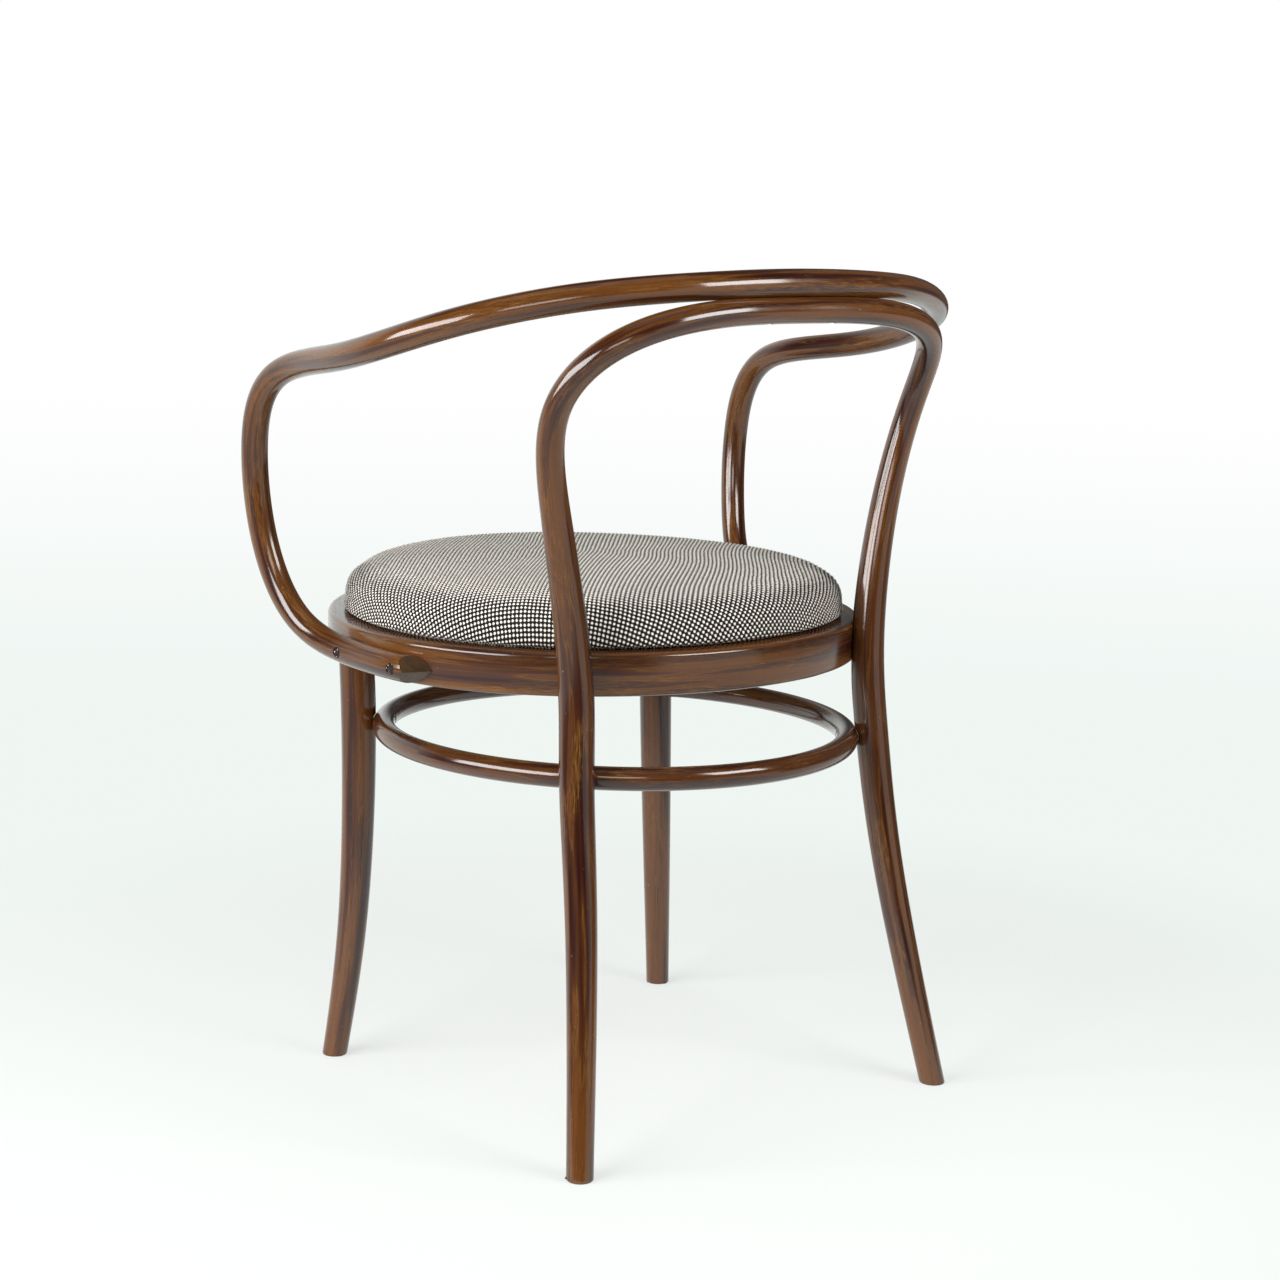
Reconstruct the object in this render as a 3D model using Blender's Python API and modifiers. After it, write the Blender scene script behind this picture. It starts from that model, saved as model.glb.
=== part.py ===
"""Bentwood armchair.

One bent rod makes both rear legs and the hoop of the back, another makes both arms and the
back rail. A bent seat ring and a bent stretcher ring tie the four legs together, and a round
upholstered seat drops into the ring. Metres, +Z up, the sitter faces -Y.
"""

import math

import bmesh
import bpy
import numpy as np
from mathutils import Matrix, Vector

# Fits
CLEARANCE = 0.0003
HOUSING_DEPTH = 0.002
HOOP_SEAT_DEPTH = 0.001

# Seat ring, an oval that is a little wider towards the back
SEAT_MIDDLE_Y = -0.0235
RING_HALF_WIDTH = 0.241
RING_HALF_DEPTH = 0.236
RING_FLARE = 0.078
RING_BOTTOM = 0.380
RING_HEIGHT = 0.036
RING_WIDTH = 0.038
RING_EDGE_RADIUS = 0.004
REBATE_WIDTH = 0.014
REBATE_DEPTH = 0.012

# Stretcher ring, an oval inside the outline of the seat ring
STRETCHER_INSET_SIDE = 0.036
STRETCHER_INSET_BACK = 0.024
STRETCHER_SETBACK = 0.045
STRETCHER_HEIGHT = 0.313
STRETCHER_RADIUS = 0.010

# Rear legs and hoop, bent from one rod. Foot and knee are measured from where the leg passes the
# stretcher; a guide point of the hoop has a bearing round the seat, its distance from the ring and a height.
REAR_FOOT_SPLAY = (0.0350, 0.0590)
REAR_KNEE_SPLAY = (0.0085, 0.0210)
REAR_KNEE_HEIGHT = 0.188
REAR_RING_ANGLE = math.radians(52.0)
REAR_STRETCHER_ANGLE = math.radians(42.7)
HOOP_WAIST = (48.2, 0.0217, 0.5260)
HOOP_SHOULDER = (48.0, 0.0429, 0.6170)
HOOP_CORNER = (56.0, 0.0597, 0.6680)
HOOP_SIDE = (69.4, 0.0524, 0.6925)
HOOP_BACK = 0.0345
HOOP_TOP = 0.6975
REAR_LEG_RADIUS = 0.0147
WAIST_RADIUS = 0.0124
HOOP_RADIUS = 0.0112
KNEE_RADIUS = 0.0133
FOOT_RADIUS = 0.0113
FOOT_CHAMFER = 0.0015

# Front legs, foot and knee measured like those of the rear legs
FRONT_FOOT_SPLAY = (0.0190, -0.0075)
FRONT_KNEE_SPLAY = (0.0065, 0.0015)
FRONT_KNEE_HEIGHT = 0.124
FRONT_RING_ANGLE = math.radians(-32.0)
FRONT_RING_INSET = 0.025
FRONT_STRETCHER_ANGLE = math.radians(-40.5)
FRONT_LEG_RADIUS = 0.0158
TENON_RADIUS = 0.008
TENON_LENGTH = 0.017

# Arms and back rail, bent from one rod; the arm ends lie along the outside of the ring, and the
# guide points are given like those of the hoop
BOW_RADIUS = 0.0115
ARM_TIP_ANGLE = math.radians(23.2)
ARM_SCREW_ANGLES = (math.radians(15.0), math.radians(-2.0))
ARM_END_RISE = (-0.005, -0.0035, -0.001)
ARM_ROUTE = (
    (-15.7, 0.0324, 0.4165),
    (-21.3, 0.0581, 0.4820),
    (-21.0, 0.0658, 0.5840),
    (-16.2, 0.0555, 0.6240),
    (-7.6, 0.0430, 0.6400),
    (6.8, 0.0465, 0.6500),
    (20.4, 0.0597, 0.6650),
    (33.9, 0.0634, 0.6865),
    (51.2, 0.0491, 0.7065),
    (71.4, 0.0422, 0.7165),
)
TIP_SLOPE_ALONG = 0.60
TIP_SLOPE_UP = 0.62
TIP_SLOPE_OUT = 0.50
TIP_BLUNT = 0.004
TIP_BLOCK = 0.060

# Drop-in seat
BOARD_THICKNESS = 0.009
COVER_THICKNESS = 0.0012
COVER_FOLD = 0.016
PAD_RISE = 0.050
PAD_BULGE = 0.008
PAD_CROWN = 0.010
PAD_SHOULDER = 0.027
PAD_GAP = 0.001

# Wood screws, their plugs, and the leg screws with washers
SCREW_SHANK_RADIUS = 0.002
SCREW_HEAD_RADIUS = 0.0038
SCREW_HEAD_HEIGHT = 0.0026
SCREW_TIP_LENGTH = 0.004
SCREW_SLOT_WIDTH = 0.001
SCREW_SLOT_DEPTH = 0.001
ARM_SCREW_LENGTH = 0.031
ARM_PLUG_LENGTH = 0.005
ARM_PLUG_RADIUS = 0.0045
HOOP_SCREW_LENGTH = 0.034
HOOP_SCREW_X = 0.035
STRETCHER_SCREW_LENGTH = 0.036
LEG_SCREW_RADIUS = 0.003
LEG_SCREW_LENGTH = 0.056
LEG_SCREW_HEAD_RADIUS = 0.0058
LEG_SCREW_HEAD_HEIGHT = 0.004
WASHER_RADIUS = 0.008
WASHER_THICKNESS = 0.0015
SPOT_FACE_DEPTH = 0.0012

# Facets
SPLINE_STEPS = 40
ROD_SPACING = 0.020
ROD_BEVEL_RESOLUTION = 4
RING_STEPS = 72
STRETCHER_STEPS = 60
RING_EDGE_RESOLUTION = 1
PAD_STEPS = 40
PAD_ARC_STEPS = 4
PAD_CROWN_SHARES = (0.25, 0.5, 0.75, 0.93)
FASTENER_SIDES = 12
LEG_SCREW_SIDES = 6
SHARP_ANGLE = math.radians(40.0)
MERGE = 0.00001

STRETCHER_HALF_WIDTH = RING_HALF_WIDTH - STRETCHER_INSET_SIDE
STRETCHER_HALF_DEPTH = RING_HALF_DEPTH - STRETCHER_INSET_BACK
RING_TOP = RING_BOTTOM + RING_HEIGHT
RING_MIDDLE = RING_BOTTOM + RING_HEIGHT / 2
REBATE_FLOOR = RING_TOP - REBATE_DEPTH
REBATE_INSET = RING_WIDTH - REBATE_WIDTH
BACK_BEARING = 90.0
SIDES = (("left", 1.0), ("right", -1.0))


# Scene and materials
def clear_scene():
    for old in list(bpy.data.objects):
        bpy.data.objects.remove(old)


def make_collection(name):
    made = bpy.data.collections.new(name)
    bpy.context.scene.collection.children.link(made)
    return made


def make_material(name, colour, roughness, metallic=0.0):
    made = bpy.data.materials.new(name)
    made.use_nodes = True
    shader = made.node_tree.nodes["Principled BSDF"]
    shader.inputs["Base Color"].default_value = (*colour, 1.0)
    shader.inputs["Roughness"].default_value = roughness
    shader.inputs["Metallic"].default_value = metallic
    return made


clear_scene()
CHAIR = make_collection("bentwood_armchair")
CUTTERS = make_collection("cutters")
BEECH = make_material("stained_beech", (0.115, 0.045, 0.020), 0.28)
PLUG_WOOD = make_material("plug_wood", (0.090, 0.038, 0.020), 0.40)
PLYWOOD = make_material("plywood", (0.52, 0.36, 0.20), 0.65)
FOAM = make_material("seat_foam", (0.80, 0.70, 0.45), 0.95)
WEAVE = make_material("woven_cover", (0.36, 0.31, 0.29), 0.92)
STEEL = make_material("screw_steel", (0.42, 0.41, 0.39), 0.38, 1.0)


def place(name, mesh, material):
    """Puts a finished mesh in the chair as one named piece."""
    piece = bpy.data.objects.new(name, mesh)
    CHAIR.objects.link(piece)
    piece.data.materials.clear()
    piece.data.materials.append(material)
    piece.data.shade_smooth()
    piece.data.set_sharp_from_angle(angle=SHARP_ANGLE)
    return piece


def hide_as_cutter(mesh, name):
    tool = bpy.data.objects.new(name, mesh)
    CUTTERS.objects.link(tool)
    tool.hide_render = True
    tool.display_type = "WIRE"
    return tool


def boolean(piece, tool, operation="DIFFERENCE"):
    step = piece.modifiers.new(tool.name, "BOOLEAN")
    step.operation = operation
    step.solver = "EXACT"
    step.object = tool


# Curves and rods
def spline_through(points, spacing):
    """Natural cubic spline through points of any width, read at an even spacing."""
    knots = np.array(points, dtype=float)
    chord = np.linalg.norm(np.diff(knots[:, :3], axis=0), axis=1)
    span = np.sqrt(chord)
    count = len(knots)
    matrix = np.eye(count)
    right = np.zeros_like(knots)
    for i in range(1, count - 1):
        matrix[i, i - 1:i + 2] = (span[i - 1], 2 * (span[i - 1] + span[i]), span[i])
        right[i] = 6 * ((knots[i + 1] - knots[i]) / span[i] - (knots[i] - knots[i - 1]) / span[i - 1])
    bend = np.linalg.solve(matrix, right)
    fine = []
    for i in range(count - 1):
        for t in np.linspace(0.0, 1.0, SPLINE_STEPS, endpoint=False):
            a, b = (1 - t) * span[i], t * span[i]
            line = knots[i] * (1 - t) + knots[i + 1] * t
            lift = (a ** 3 / span[i] - a * span[i]) * bend[i] + (b ** 3 / span[i] - b * span[i]) * bend[i + 1]
            fine.append(line + lift / 6)
    fine = np.array(fine + [knots[-1]])
    along = np.concatenate([[0.0], np.cumsum(np.linalg.norm(np.diff(fine[:, :3], axis=0), axis=1))])
    even = np.linspace(0.0, along[-1], max(2, round(along[-1] / spacing)) + 1)
    return np.column_stack([np.interp(even, along, column) for column in fine.T])


def mesh_from_curve(data):
    """Turns curve data into a closed mesh with its caps welded."""
    holder = bpy.data.objects.new("curve", data)
    bpy.context.scene.collection.objects.link(holder)
    graph = bpy.context.evaluated_depsgraph_get()
    mesh = bpy.data.meshes.new_from_object(holder.evaluated_get(graph))
    bpy.data.objects.remove(holder)
    bpy.data.curves.remove(data)
    work = bmesh.new()
    work.from_mesh(mesh)
    bmesh.ops.remove_doubles(work, verts=work.verts, dist=MERGE)
    bmesh.ops.recalc_face_normals(work, faces=work.faces)
    work.to_mesh(mesh)
    work.free()
    return mesh


def rod_mesh(path, grow=0.0, cyclic=False):
    """Round rod along rows of x, y, z and radius, made thicker by grow."""
    data = bpy.data.curves.new("rod", "CURVE")
    data.dimensions = "3D"
    data.twist_mode = "Z_UP" if cyclic else "MINIMUM"
    data.bevel_depth = 1.0
    data.bevel_resolution = ROD_BEVEL_RESOLUTION
    data.use_fill_caps = not cyclic
    spline = data.splines.new("POLY")
    spline.points.add(len(path) - 1)
    for point, row in zip(spline.points, path):
        point.co = (row[0], row[1], row[2], 1.0)
        point.radius = row[3] + grow
    spline.use_cyclic_u = cyclic
    return mesh_from_curve(data)


def plate_mesh(outline, bottom, top, edge_radius=0.0):
    """Flat plate on a closed outline, with its edges rounded."""
    data = bpy.data.curves.new("plate", "CURVE")
    data.dimensions = "2D"
    data.fill_mode = "BOTH"
    data.extrude = (top - bottom) / 2 - edge_radius
    data.bevel_depth = edge_radius
    data.bevel_resolution = RING_EDGE_RESOLUTION
    data.offset = -edge_radius
    spline = data.splines.new("POLY")
    spline.points.add(len(outline) - 1)
    for point, (x, y) in zip(spline.points, outline):
        point.co = (x, y, 0.0, 1.0)
    spline.use_cyclic_u = True
    mesh = mesh_from_curve(data)
    mesh.transform(Matrix.Translation((0.0, 0.0, (top + bottom) / 2)))
    return mesh


def trim_mesh(mesh, point, normal, chamfer=0.0):
    """Cuts off what lies beyond a plane, closes the cut flat and chamfers its edge."""
    work = bmesh.new()
    work.from_mesh(mesh)
    everything = work.verts[:] + work.edges[:] + work.faces[:]
    bmesh.ops.bisect_plane(
        work, geom=everything, plane_co=point, plane_no=normal, clear_outer=True, dist=MERGE)
    rim = [edge for edge in work.edges if edge.is_boundary]
    cap = bmesh.ops.contextual_create(work, geom=rim)["faces"]
    if chamfer:
        bmesh.ops.bevel(
            work, geom=[edge for face in cap for edge in face.edges], offset=chamfer,
            segments=1, affect="EDGES")
    bmesh.ops.recalc_face_normals(work, faces=work.faces)
    work.to_mesh(mesh)
    work.free()


# Outlines in plan
def ring_point(angle, outset):
    """Point of the seat ring's outer outline, moved out along its normal, and that normal."""
    x = RING_HALF_WIDTH * math.cos(angle) * (1 + RING_FLARE * math.sin(angle))
    y = RING_HALF_DEPTH * math.sin(angle)
    turn = RING_FLARE * math.cos(angle) ** 2 - math.sin(angle) * (1 + RING_FLARE * math.sin(angle))
    normal = Vector((RING_HALF_DEPTH * math.cos(angle), -RING_HALF_WIDTH * turn)).normalized()
    return Vector((x, y + SEAT_MIDDLE_Y)) + outset * normal, normal


def stretcher_point(angle, outset):
    """Point of the stretcher ring's axis, moved out along its normal, and that normal."""
    x = STRETCHER_HALF_WIDTH * math.cos(angle)
    y = STRETCHER_HALF_DEPTH * math.sin(angle)
    normal = Vector((STRETCHER_HALF_DEPTH * math.cos(angle), STRETCHER_HALF_WIDTH * math.sin(angle)))
    normal.normalize()
    middle = SEAT_MIDDLE_Y + STRETCHER_SETBACK
    return Vector((x, y + middle)) + outset * normal, normal


def turn_angles(steps):
    return [2 * math.pi * i / steps for i in range(steps)]


def ring_outline(outset):
    return [ring_point(angle, outset)[0] for angle in turn_angles(RING_STEPS)]


def round_seat(bearing, outset, height, radius):
    """Guide point given by its bearing round the seat in degrees and its distance from the ring."""
    point, _ = ring_point(math.radians(bearing), outset)
    return (*point, height, radius)


def splayed(passing, splay, height, radius):
    """Guide point of a leg, given from where the leg passes the stretcher."""
    return (passing[0] + splay[0], passing[1] + splay[1], height, radius)


def mirrored(half):
    """Whole symmetric route from the half on the left, which ends in the middle."""
    return half + [(-x, y, z, radius) for x, y, z, radius in reversed(half[:-1])]


# Routes of the rods
def below_floor(foot, leg_point):
    """Carries a leg on past the floor, so that the floor can cut it flat."""
    reach = 2 * FOOT_RADIUS / leg_point[2]
    return (
        foot[0] - (leg_point[0] - foot[0]) * reach,
        foot[1] - (leg_point[1] - foot[1]) * reach,
        -2 * FOOT_RADIUS,
        FOOT_RADIUS,
    )


def hoop_route():
    at_ring, _ = ring_point(REAR_RING_ANGLE, REAR_LEG_RADIUS - HOUSING_DEPTH)
    at_stretcher, _ = stretcher_point(
        REAR_STRETCHER_ANGLE, STRETCHER_RADIUS + REAR_LEG_RADIUS - HOUSING_DEPTH)
    foot = splayed(at_stretcher, REAR_FOOT_SPLAY, 0.0, FOOT_RADIUS)
    knee = splayed(at_stretcher, REAR_KNEE_SPLAY, REAR_KNEE_HEIGHT, KNEE_RADIUS)
    half = [
        below_floor(foot, knee),
        foot,
        knee,
        (*at_stretcher, STRETCHER_HEIGHT, REAR_LEG_RADIUS),
        (*at_ring, RING_MIDDLE, REAR_LEG_RADIUS),
        round_seat(*HOOP_WAIST, WAIST_RADIUS),
        round_seat(*HOOP_SHOULDER, HOOP_RADIUS),
        round_seat(*HOOP_CORNER, HOOP_RADIUS),
        round_seat(*HOOP_SIDE, HOOP_RADIUS),
        round_seat(BACK_BEARING, HOOP_BACK, HOOP_TOP, HOOP_RADIUS),
    ]
    return spline_through(mirrored(half), ROD_SPACING)


def front_leg_route():
    at_ring, _ = ring_point(FRONT_RING_ANGLE, -FRONT_RING_INSET)
    at_stretcher, _ = stretcher_point(
        FRONT_STRETCHER_ANGLE, STRETCHER_RADIUS + FRONT_LEG_RADIUS - HOUSING_DEPTH)
    foot = splayed(at_stretcher, FRONT_FOOT_SPLAY, 0.0, FOOT_RADIUS)
    knee = splayed(at_stretcher, FRONT_KNEE_SPLAY, FRONT_KNEE_HEIGHT, KNEE_RADIUS)
    stretcher = (*at_stretcher, STRETCHER_HEIGHT, FRONT_LEG_RADIUS)
    top = (*at_ring, RING_BOTTOM - CLEARANCE, FRONT_LEG_RADIUS)
    return spline_through([below_floor(foot, knee), foot, knee, stretcher, top], ROD_SPACING)


def bow_route():
    half = []
    for angle, rise in zip((ARM_TIP_ANGLE, *ARM_SCREW_ANGLES), ARM_END_RISE):
        at_ring, _ = ring_point(angle, BOW_RADIUS - HOUSING_DEPTH)
        half.append((*at_ring, RING_MIDDLE + rise, BOW_RADIUS))
    half += [round_seat(*point, BOW_RADIUS) for point in ARM_ROUTE]
    rail_height = HOOP_TOP + HOOP_RADIUS + BOW_RADIUS - HOOP_SEAT_DEPTH
    half.append(round_seat(BACK_BEARING, HOOP_BACK, rail_height, BOW_RADIUS))
    return spline_through(mirrored(half), ROD_SPACING)


def stretcher_route():
    return [
        (*stretcher_point(angle, 0.0)[0], STRETCHER_HEIGHT, STRETCHER_RADIUS)
        for angle in turn_angles(STRETCHER_STEPS)]


# Fasteners
def turned_mesh(profile, sides=FASTENER_SIDES):
    """Solid turned round Z from a profile of radius and height, listed from the top down."""
    mesh = bpy.data.meshes.new("profile")
    mesh.from_pydata([(r, 0.0, z) for r, z in profile], [(i, i + 1) for i in range(len(profile) - 1)], [])
    holder = bpy.data.objects.new("turned", mesh)
    bpy.context.scene.collection.objects.link(holder)
    screw = holder.modifiers.new("turn", "SCREW")
    screw.steps = screw.render_steps = sides
    screw.use_merge_vertices = True
    screw.merge_threshold = MERGE
    graph = bpy.context.evaluated_depsgraph_get()
    solid = bpy.data.meshes.new_from_object(holder.evaluated_get(graph))
    bpy.data.objects.remove(holder)
    bpy.data.meshes.remove(mesh)
    work = bmesh.new()
    work.from_mesh(solid)
    bmesh.ops.remove_doubles(work, verts=work.verts, dist=MERGE)
    bmesh.ops.recalc_face_normals(work, faces=work.faces)
    work.to_mesh(solid)
    work.free()
    return solid


def wood_screw_profile(length, grow=0.0):
    """Countersunk screw, its head's face at height 0 and its point below."""
    head = SCREW_HEAD_RADIUS + grow
    shank = SCREW_SHANK_RADIUS + grow
    depth = length + grow
    return [
        (0.0, 0.0),
        (head, 0.0),
        (shank, -SCREW_HEAD_HEIGHT),
        (shank, SCREW_TIP_LENGTH - depth),
        (0.0, -depth),
    ]


def hole_profile(length, plug_radius, plug_length):
    """The room that a wood screw needs, with room above its head for a plug of that size."""
    reach = 2 * plug_length
    plug = [(0.0, reach), (plug_radius + CLEARANCE, reach)]
    if plug_radius > SCREW_HEAD_RADIUS:
        plug.append((plug_radius + CLEARANCE, 0.0))
    return plug + wood_screw_profile(length, CLEARANCE)[1:]


def cylinder_profile(radius, top, bottom):
    return [(0.0, top), (radius, top), (radius, bottom), (0.0, bottom)]


def leg_screw_profile():
    """Leg screw, the underside of its head at height 0."""
    return [
        (0.0, LEG_SCREW_HEAD_HEIGHT),
        (LEG_SCREW_HEAD_RADIUS, LEG_SCREW_HEAD_HEIGHT),
        (LEG_SCREW_HEAD_RADIUS, 0.0),
        (LEG_SCREW_RADIUS, 0.0),
        (LEG_SCREW_RADIUS, SCREW_TIP_LENGTH - LEG_SCREW_LENGTH),
        (0.0, -LEG_SCREW_LENGTH),
    ]


def driven_frame(head, direction):
    """Frame of a fastener whose head lies at a point and whose shank runs in a direction."""
    turn = (-Vector(direction)).to_track_quat("Z", "Y").to_matrix().to_4x4()
    return Matrix.Translation(head) @ turn


def slot_mesh():
    """Bar that cuts the driving slot across a screw's head."""
    work = bmesh.new()
    size = (4 * SCREW_HEAD_RADIUS, SCREW_SLOT_WIDTH, 2 * SCREW_SLOT_DEPTH)
    bmesh.ops.create_cube(work, size=1.0, matrix=Matrix.Diagonal((*size, 1.0)))
    mesh = bpy.data.meshes.new("slot")
    work.to_mesh(mesh)
    work.free()
    return mesh


def add_wood_screw(name, frame, length, hosts, plug_radius=SCREW_HEAD_RADIUS, plug_length=SCREW_HEAD_HEIGHT):
    """Slotted wood screw, with its hole in each piece that it passes through, and room for a plug."""
    screw = place(name, turned_mesh(wood_screw_profile(length)), STEEL)
    screw.matrix_world = frame
    slot = hide_as_cutter(slot_mesh(), name + "_slot")
    slot.matrix_world = frame
    boolean(screw, slot)
    add_hole(name + "_hole", hole_profile(length, plug_radius, plug_length), frame, hosts)


def add_hole(name, profile, frame, hosts, sides=FASTENER_SIDES):
    hole = hide_as_cutter(turned_mesh(profile, sides), name)
    hole.matrix_world = frame
    for host in hosts:
        boolean(host, hole)


# The wooden pieces
HOOP_ROUTE = hoop_route()
BOW_ROUTE = bow_route()
FRONT_LEG_ROUTE = front_leg_route()
STRETCHER_ROUTE = stretcher_route()


def make_seat_ring():
    ring = place(
        "seat_ring", plate_mesh(ring_outline(0.0), RING_BOTTOM, RING_TOP, RING_EDGE_RADIUS), BEECH)
    opening = plate_mesh(ring_outline(-RING_WIDTH), RING_BOTTOM - RING_HEIGHT, RING_TOP + RING_HEIGHT)
    rebate = plate_mesh(ring_outline(-REBATE_INSET), REBATE_FLOOR, RING_TOP + RING_HEIGHT)
    boolean(ring, hide_as_cutter(opening, "ring_opening"))
    boolean(ring, hide_as_cutter(rebate, "ring_rebate"))
    return ring


def make_hoop(ring_room, stretcher_room, bow_room):
    mesh = rod_mesh(HOOP_ROUTE)
    trim_mesh(mesh, (0.0, 0.0, 0.0), (0.0, 0.0, -1.0), FOOT_CHAMFER)
    hoop = place("rear_leg_hoop", mesh, BEECH)
    for room in (ring_room, stretcher_room, bow_room):
        boolean(hoop, room)
    return hoop


def make_front_leg(side, sign, stretcher_room, ring):
    route = FRONT_LEG_ROUTE * np.array([sign, 1.0, 1.0, 1.0])
    mesh = rod_mesh(route)
    trim_mesh(mesh, (0.0, 0.0, 0.0), (0.0, 0.0, -1.0), FOOT_CHAMFER)
    trim_mesh(mesh, (0.0, 0.0, RING_BOTTOM - 2 * CLEARANCE), (0.0, 0.0, 1.0))
    leg = place("front_leg_" + side, mesh, BEECH)
    boolean(leg, stretcher_room)
    top = route[-1]
    seat = Matrix.Translation((top[0], top[1], RING_BOTTOM))
    tenon = hide_as_cutter(
        turned_mesh(cylinder_profile(TENON_RADIUS, TENON_LENGTH, -TENON_LENGTH)), "tenon_" + side)
    tenon.matrix_world = seat
    boolean(leg, tenon, "UNION")
    mortise = cylinder_profile(TENON_RADIUS + CLEARANCE, TENON_LENGTH + CLEARANCE, -TENON_LENGTH)
    add_hole("mortise_" + side, mortise, seat, [ring])
    return leg


def block_beyond(point, normal, size):
    """Block that fills the space beyond a plane, near a point on it."""
    turn = Vector(normal).to_track_quat("Z", "Y").to_matrix().to_4x4()
    frame = Matrix.Translation(point) @ turn @ Matrix.Translation((0.0, 0.0, size / 2))
    work = bmesh.new()
    bmesh.ops.create_cube(work, size=size, matrix=frame)
    mesh = bpy.data.meshes.new("block")
    work.to_mesh(mesh)
    work.free()
    return mesh


def make_bow(ring_room):
    bow = place("arm_back_bow", rod_mesh(BOW_ROUTE), BEECH)
    boolean(bow, ring_room)
    for side, sign in SIDES:
        end, before = (BOW_ROUTE[0], BOW_ROUTE[1]) if sign > 0 else (BOW_ROUTE[-1], BOW_ROUTE[-2])
        along = Vector(end[:3] - before[:3]).normalized()
        out = along.cross(Vector((0.0, 0.0, 1.0))).normalized() * sign
        corner = Vector(end[:3]) - out * BOW_RADIUS - along * TIP_BLUNT
        for facet, up in (("upper", TIP_SLOPE_UP), ("lower", -TIP_SLOPE_UP)):
            normal = along * TIP_SLOPE_ALONG + out * TIP_SLOPE_OUT + Vector((0.0, 0.0, up))
            block = block_beyond(corner, normal, TIP_BLOCK)
            boolean(bow, hide_as_cutter(block, f"arm_tip_{side}_{facet}"))
    return bow


# The drop-in seat
def pad_profile():
    """Inner face of the cover from the edge of its fold, round the pad to the middle of its top."""
    edge = REBATE_INSET + COVER_THICKNESS + 2 * CLEARANCE
    low = REBATE_FLOOR + COVER_THICKNESS + CLEARANCE
    board_top = low + CLEARANCE + BOARD_THICKNESS
    rim = max(RING_TOP, board_top) + COVER_THICKNESS + PAD_GAP
    shoulder = RING_TOP + PAD_RISE - PAD_CROWN - PAD_SHOULDER
    profile = [(edge + COVER_FOLD, low), (edge, low), (edge, rim)]
    quarter = [math.pi / 2 * step / PAD_ARC_STEPS for step in range(1, PAD_ARC_STEPS + 1)]
    for turn in quarter:
        profile.append((edge - PAD_BULGE * math.sin(turn), rim + (shoulder - rim) * (1 - math.cos(turn))))
    belly = edge - PAD_BULGE
    for turn in quarter:
        profile.append((belly + PAD_SHOULDER * (1 - math.cos(turn)), shoulder + PAD_SHOULDER * math.sin(turn)))
    start, height = profile[-1]
    reach = RING_HALF_WIDTH - start
    for share in PAD_CROWN_SHARES:
        profile.append((start + reach * share, height + PAD_CROWN * (1 - (1 - share) ** 2)))
    return profile


def shrunk_profile(profile, distance):
    """Profile moved inwards by the same distance all along, with mitred corners."""
    points = np.array(profile)
    edge = np.diff(points, axis=0)
    edge /= np.linalg.norm(edge, axis=1)[:, None]
    normal = np.column_stack([edge[:, 1], -edge[:, 0]])
    mitre = np.vstack([normal[:1], normal]) + np.vstack([normal, normal[-1:]])
    mitre *= 2 / np.sum(mitre ** 2, axis=1)[:, None]
    return (points + distance * mitre).tolist()


def seat_plan_point(angle, inset):
    """Point of the seat's plan; past the ring's rim the plan shrinks towards its middle."""
    rim = min(inset, RING_WIDTH)
    point, _ = ring_point(angle, -rim)
    middle = Vector((0.0, SEAT_MIDDLE_Y))
    shrink = (RING_HALF_WIDTH - inset) / (RING_HALF_WIDTH - rim)
    return middle + (point - middle) * shrink


def pad_mesh(profile, closed):
    """Skin that runs round the seat's plan along a profile, closed at its top and maybe below."""
    work = bmesh.new()
    angles = turn_angles(PAD_STEPS)
    circle = bmesh.ops.create_circle(work, segments=PAD_STEPS, radius=RING_HALF_WIDTH)["verts"]
    rows = [circle]
    for _ in profile[1:]:
        loop = [edge for edge in work.edges if all(vert in rows[-1] for vert in edge.verts)]
        made = bmesh.ops.extrude_edge_only(work, edges=loop)["geom"]
        fresh = [item for item in made if isinstance(item, bmesh.types.BMVert)]
        follow = {vert: next(e.other_vert(vert) for e in vert.link_edges if e.other_vert(vert) in rows[-1])
                  for vert in fresh}
        order = {old: new for new, old in follow.items()}
        rows.append([order[vert] for vert in rows[-1]])
    for row, (inset, height) in zip(rows, profile):
        for vert, angle in zip(row, angles):
            vert.co = (*seat_plan_point(angle, inset), height)
    work.faces.new(rows[-1])
    if closed:
        work.faces.new(rows[0])
    bmesh.ops.recalc_face_normals(work, faces=work.faces)
    mesh = bpy.data.meshes.new("pad")
    work.to_mesh(mesh)
    work.free()
    return mesh


def make_seat():
    profile = pad_profile()
    edge, low = profile[1]
    board_bottom = low + CLEARANCE
    board_top = board_bottom + BOARD_THICKNESS
    outline = [seat_plan_point(angle, edge + CLEARANCE) for angle in turn_angles(PAD_STEPS)]
    place("seat_board", plate_mesh(outline, board_bottom, board_top), PLYWOOD)
    foam = shrunk_profile(profile[1:], CLEARANCE)
    foam[0] = (edge + CLEARANCE, board_top + CLEARANCE)
    place("seat_foam", pad_mesh(foam, closed=True), FOAM)
    cover = place("seat_cover", pad_mesh(profile, closed=False), WEAVE)
    wall = cover.modifiers.new("cloth", "SOLIDIFY")
    wall.thickness = COVER_THICKNESS
    wall.offset = 1.0
    wall.use_even_offset = True


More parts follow.
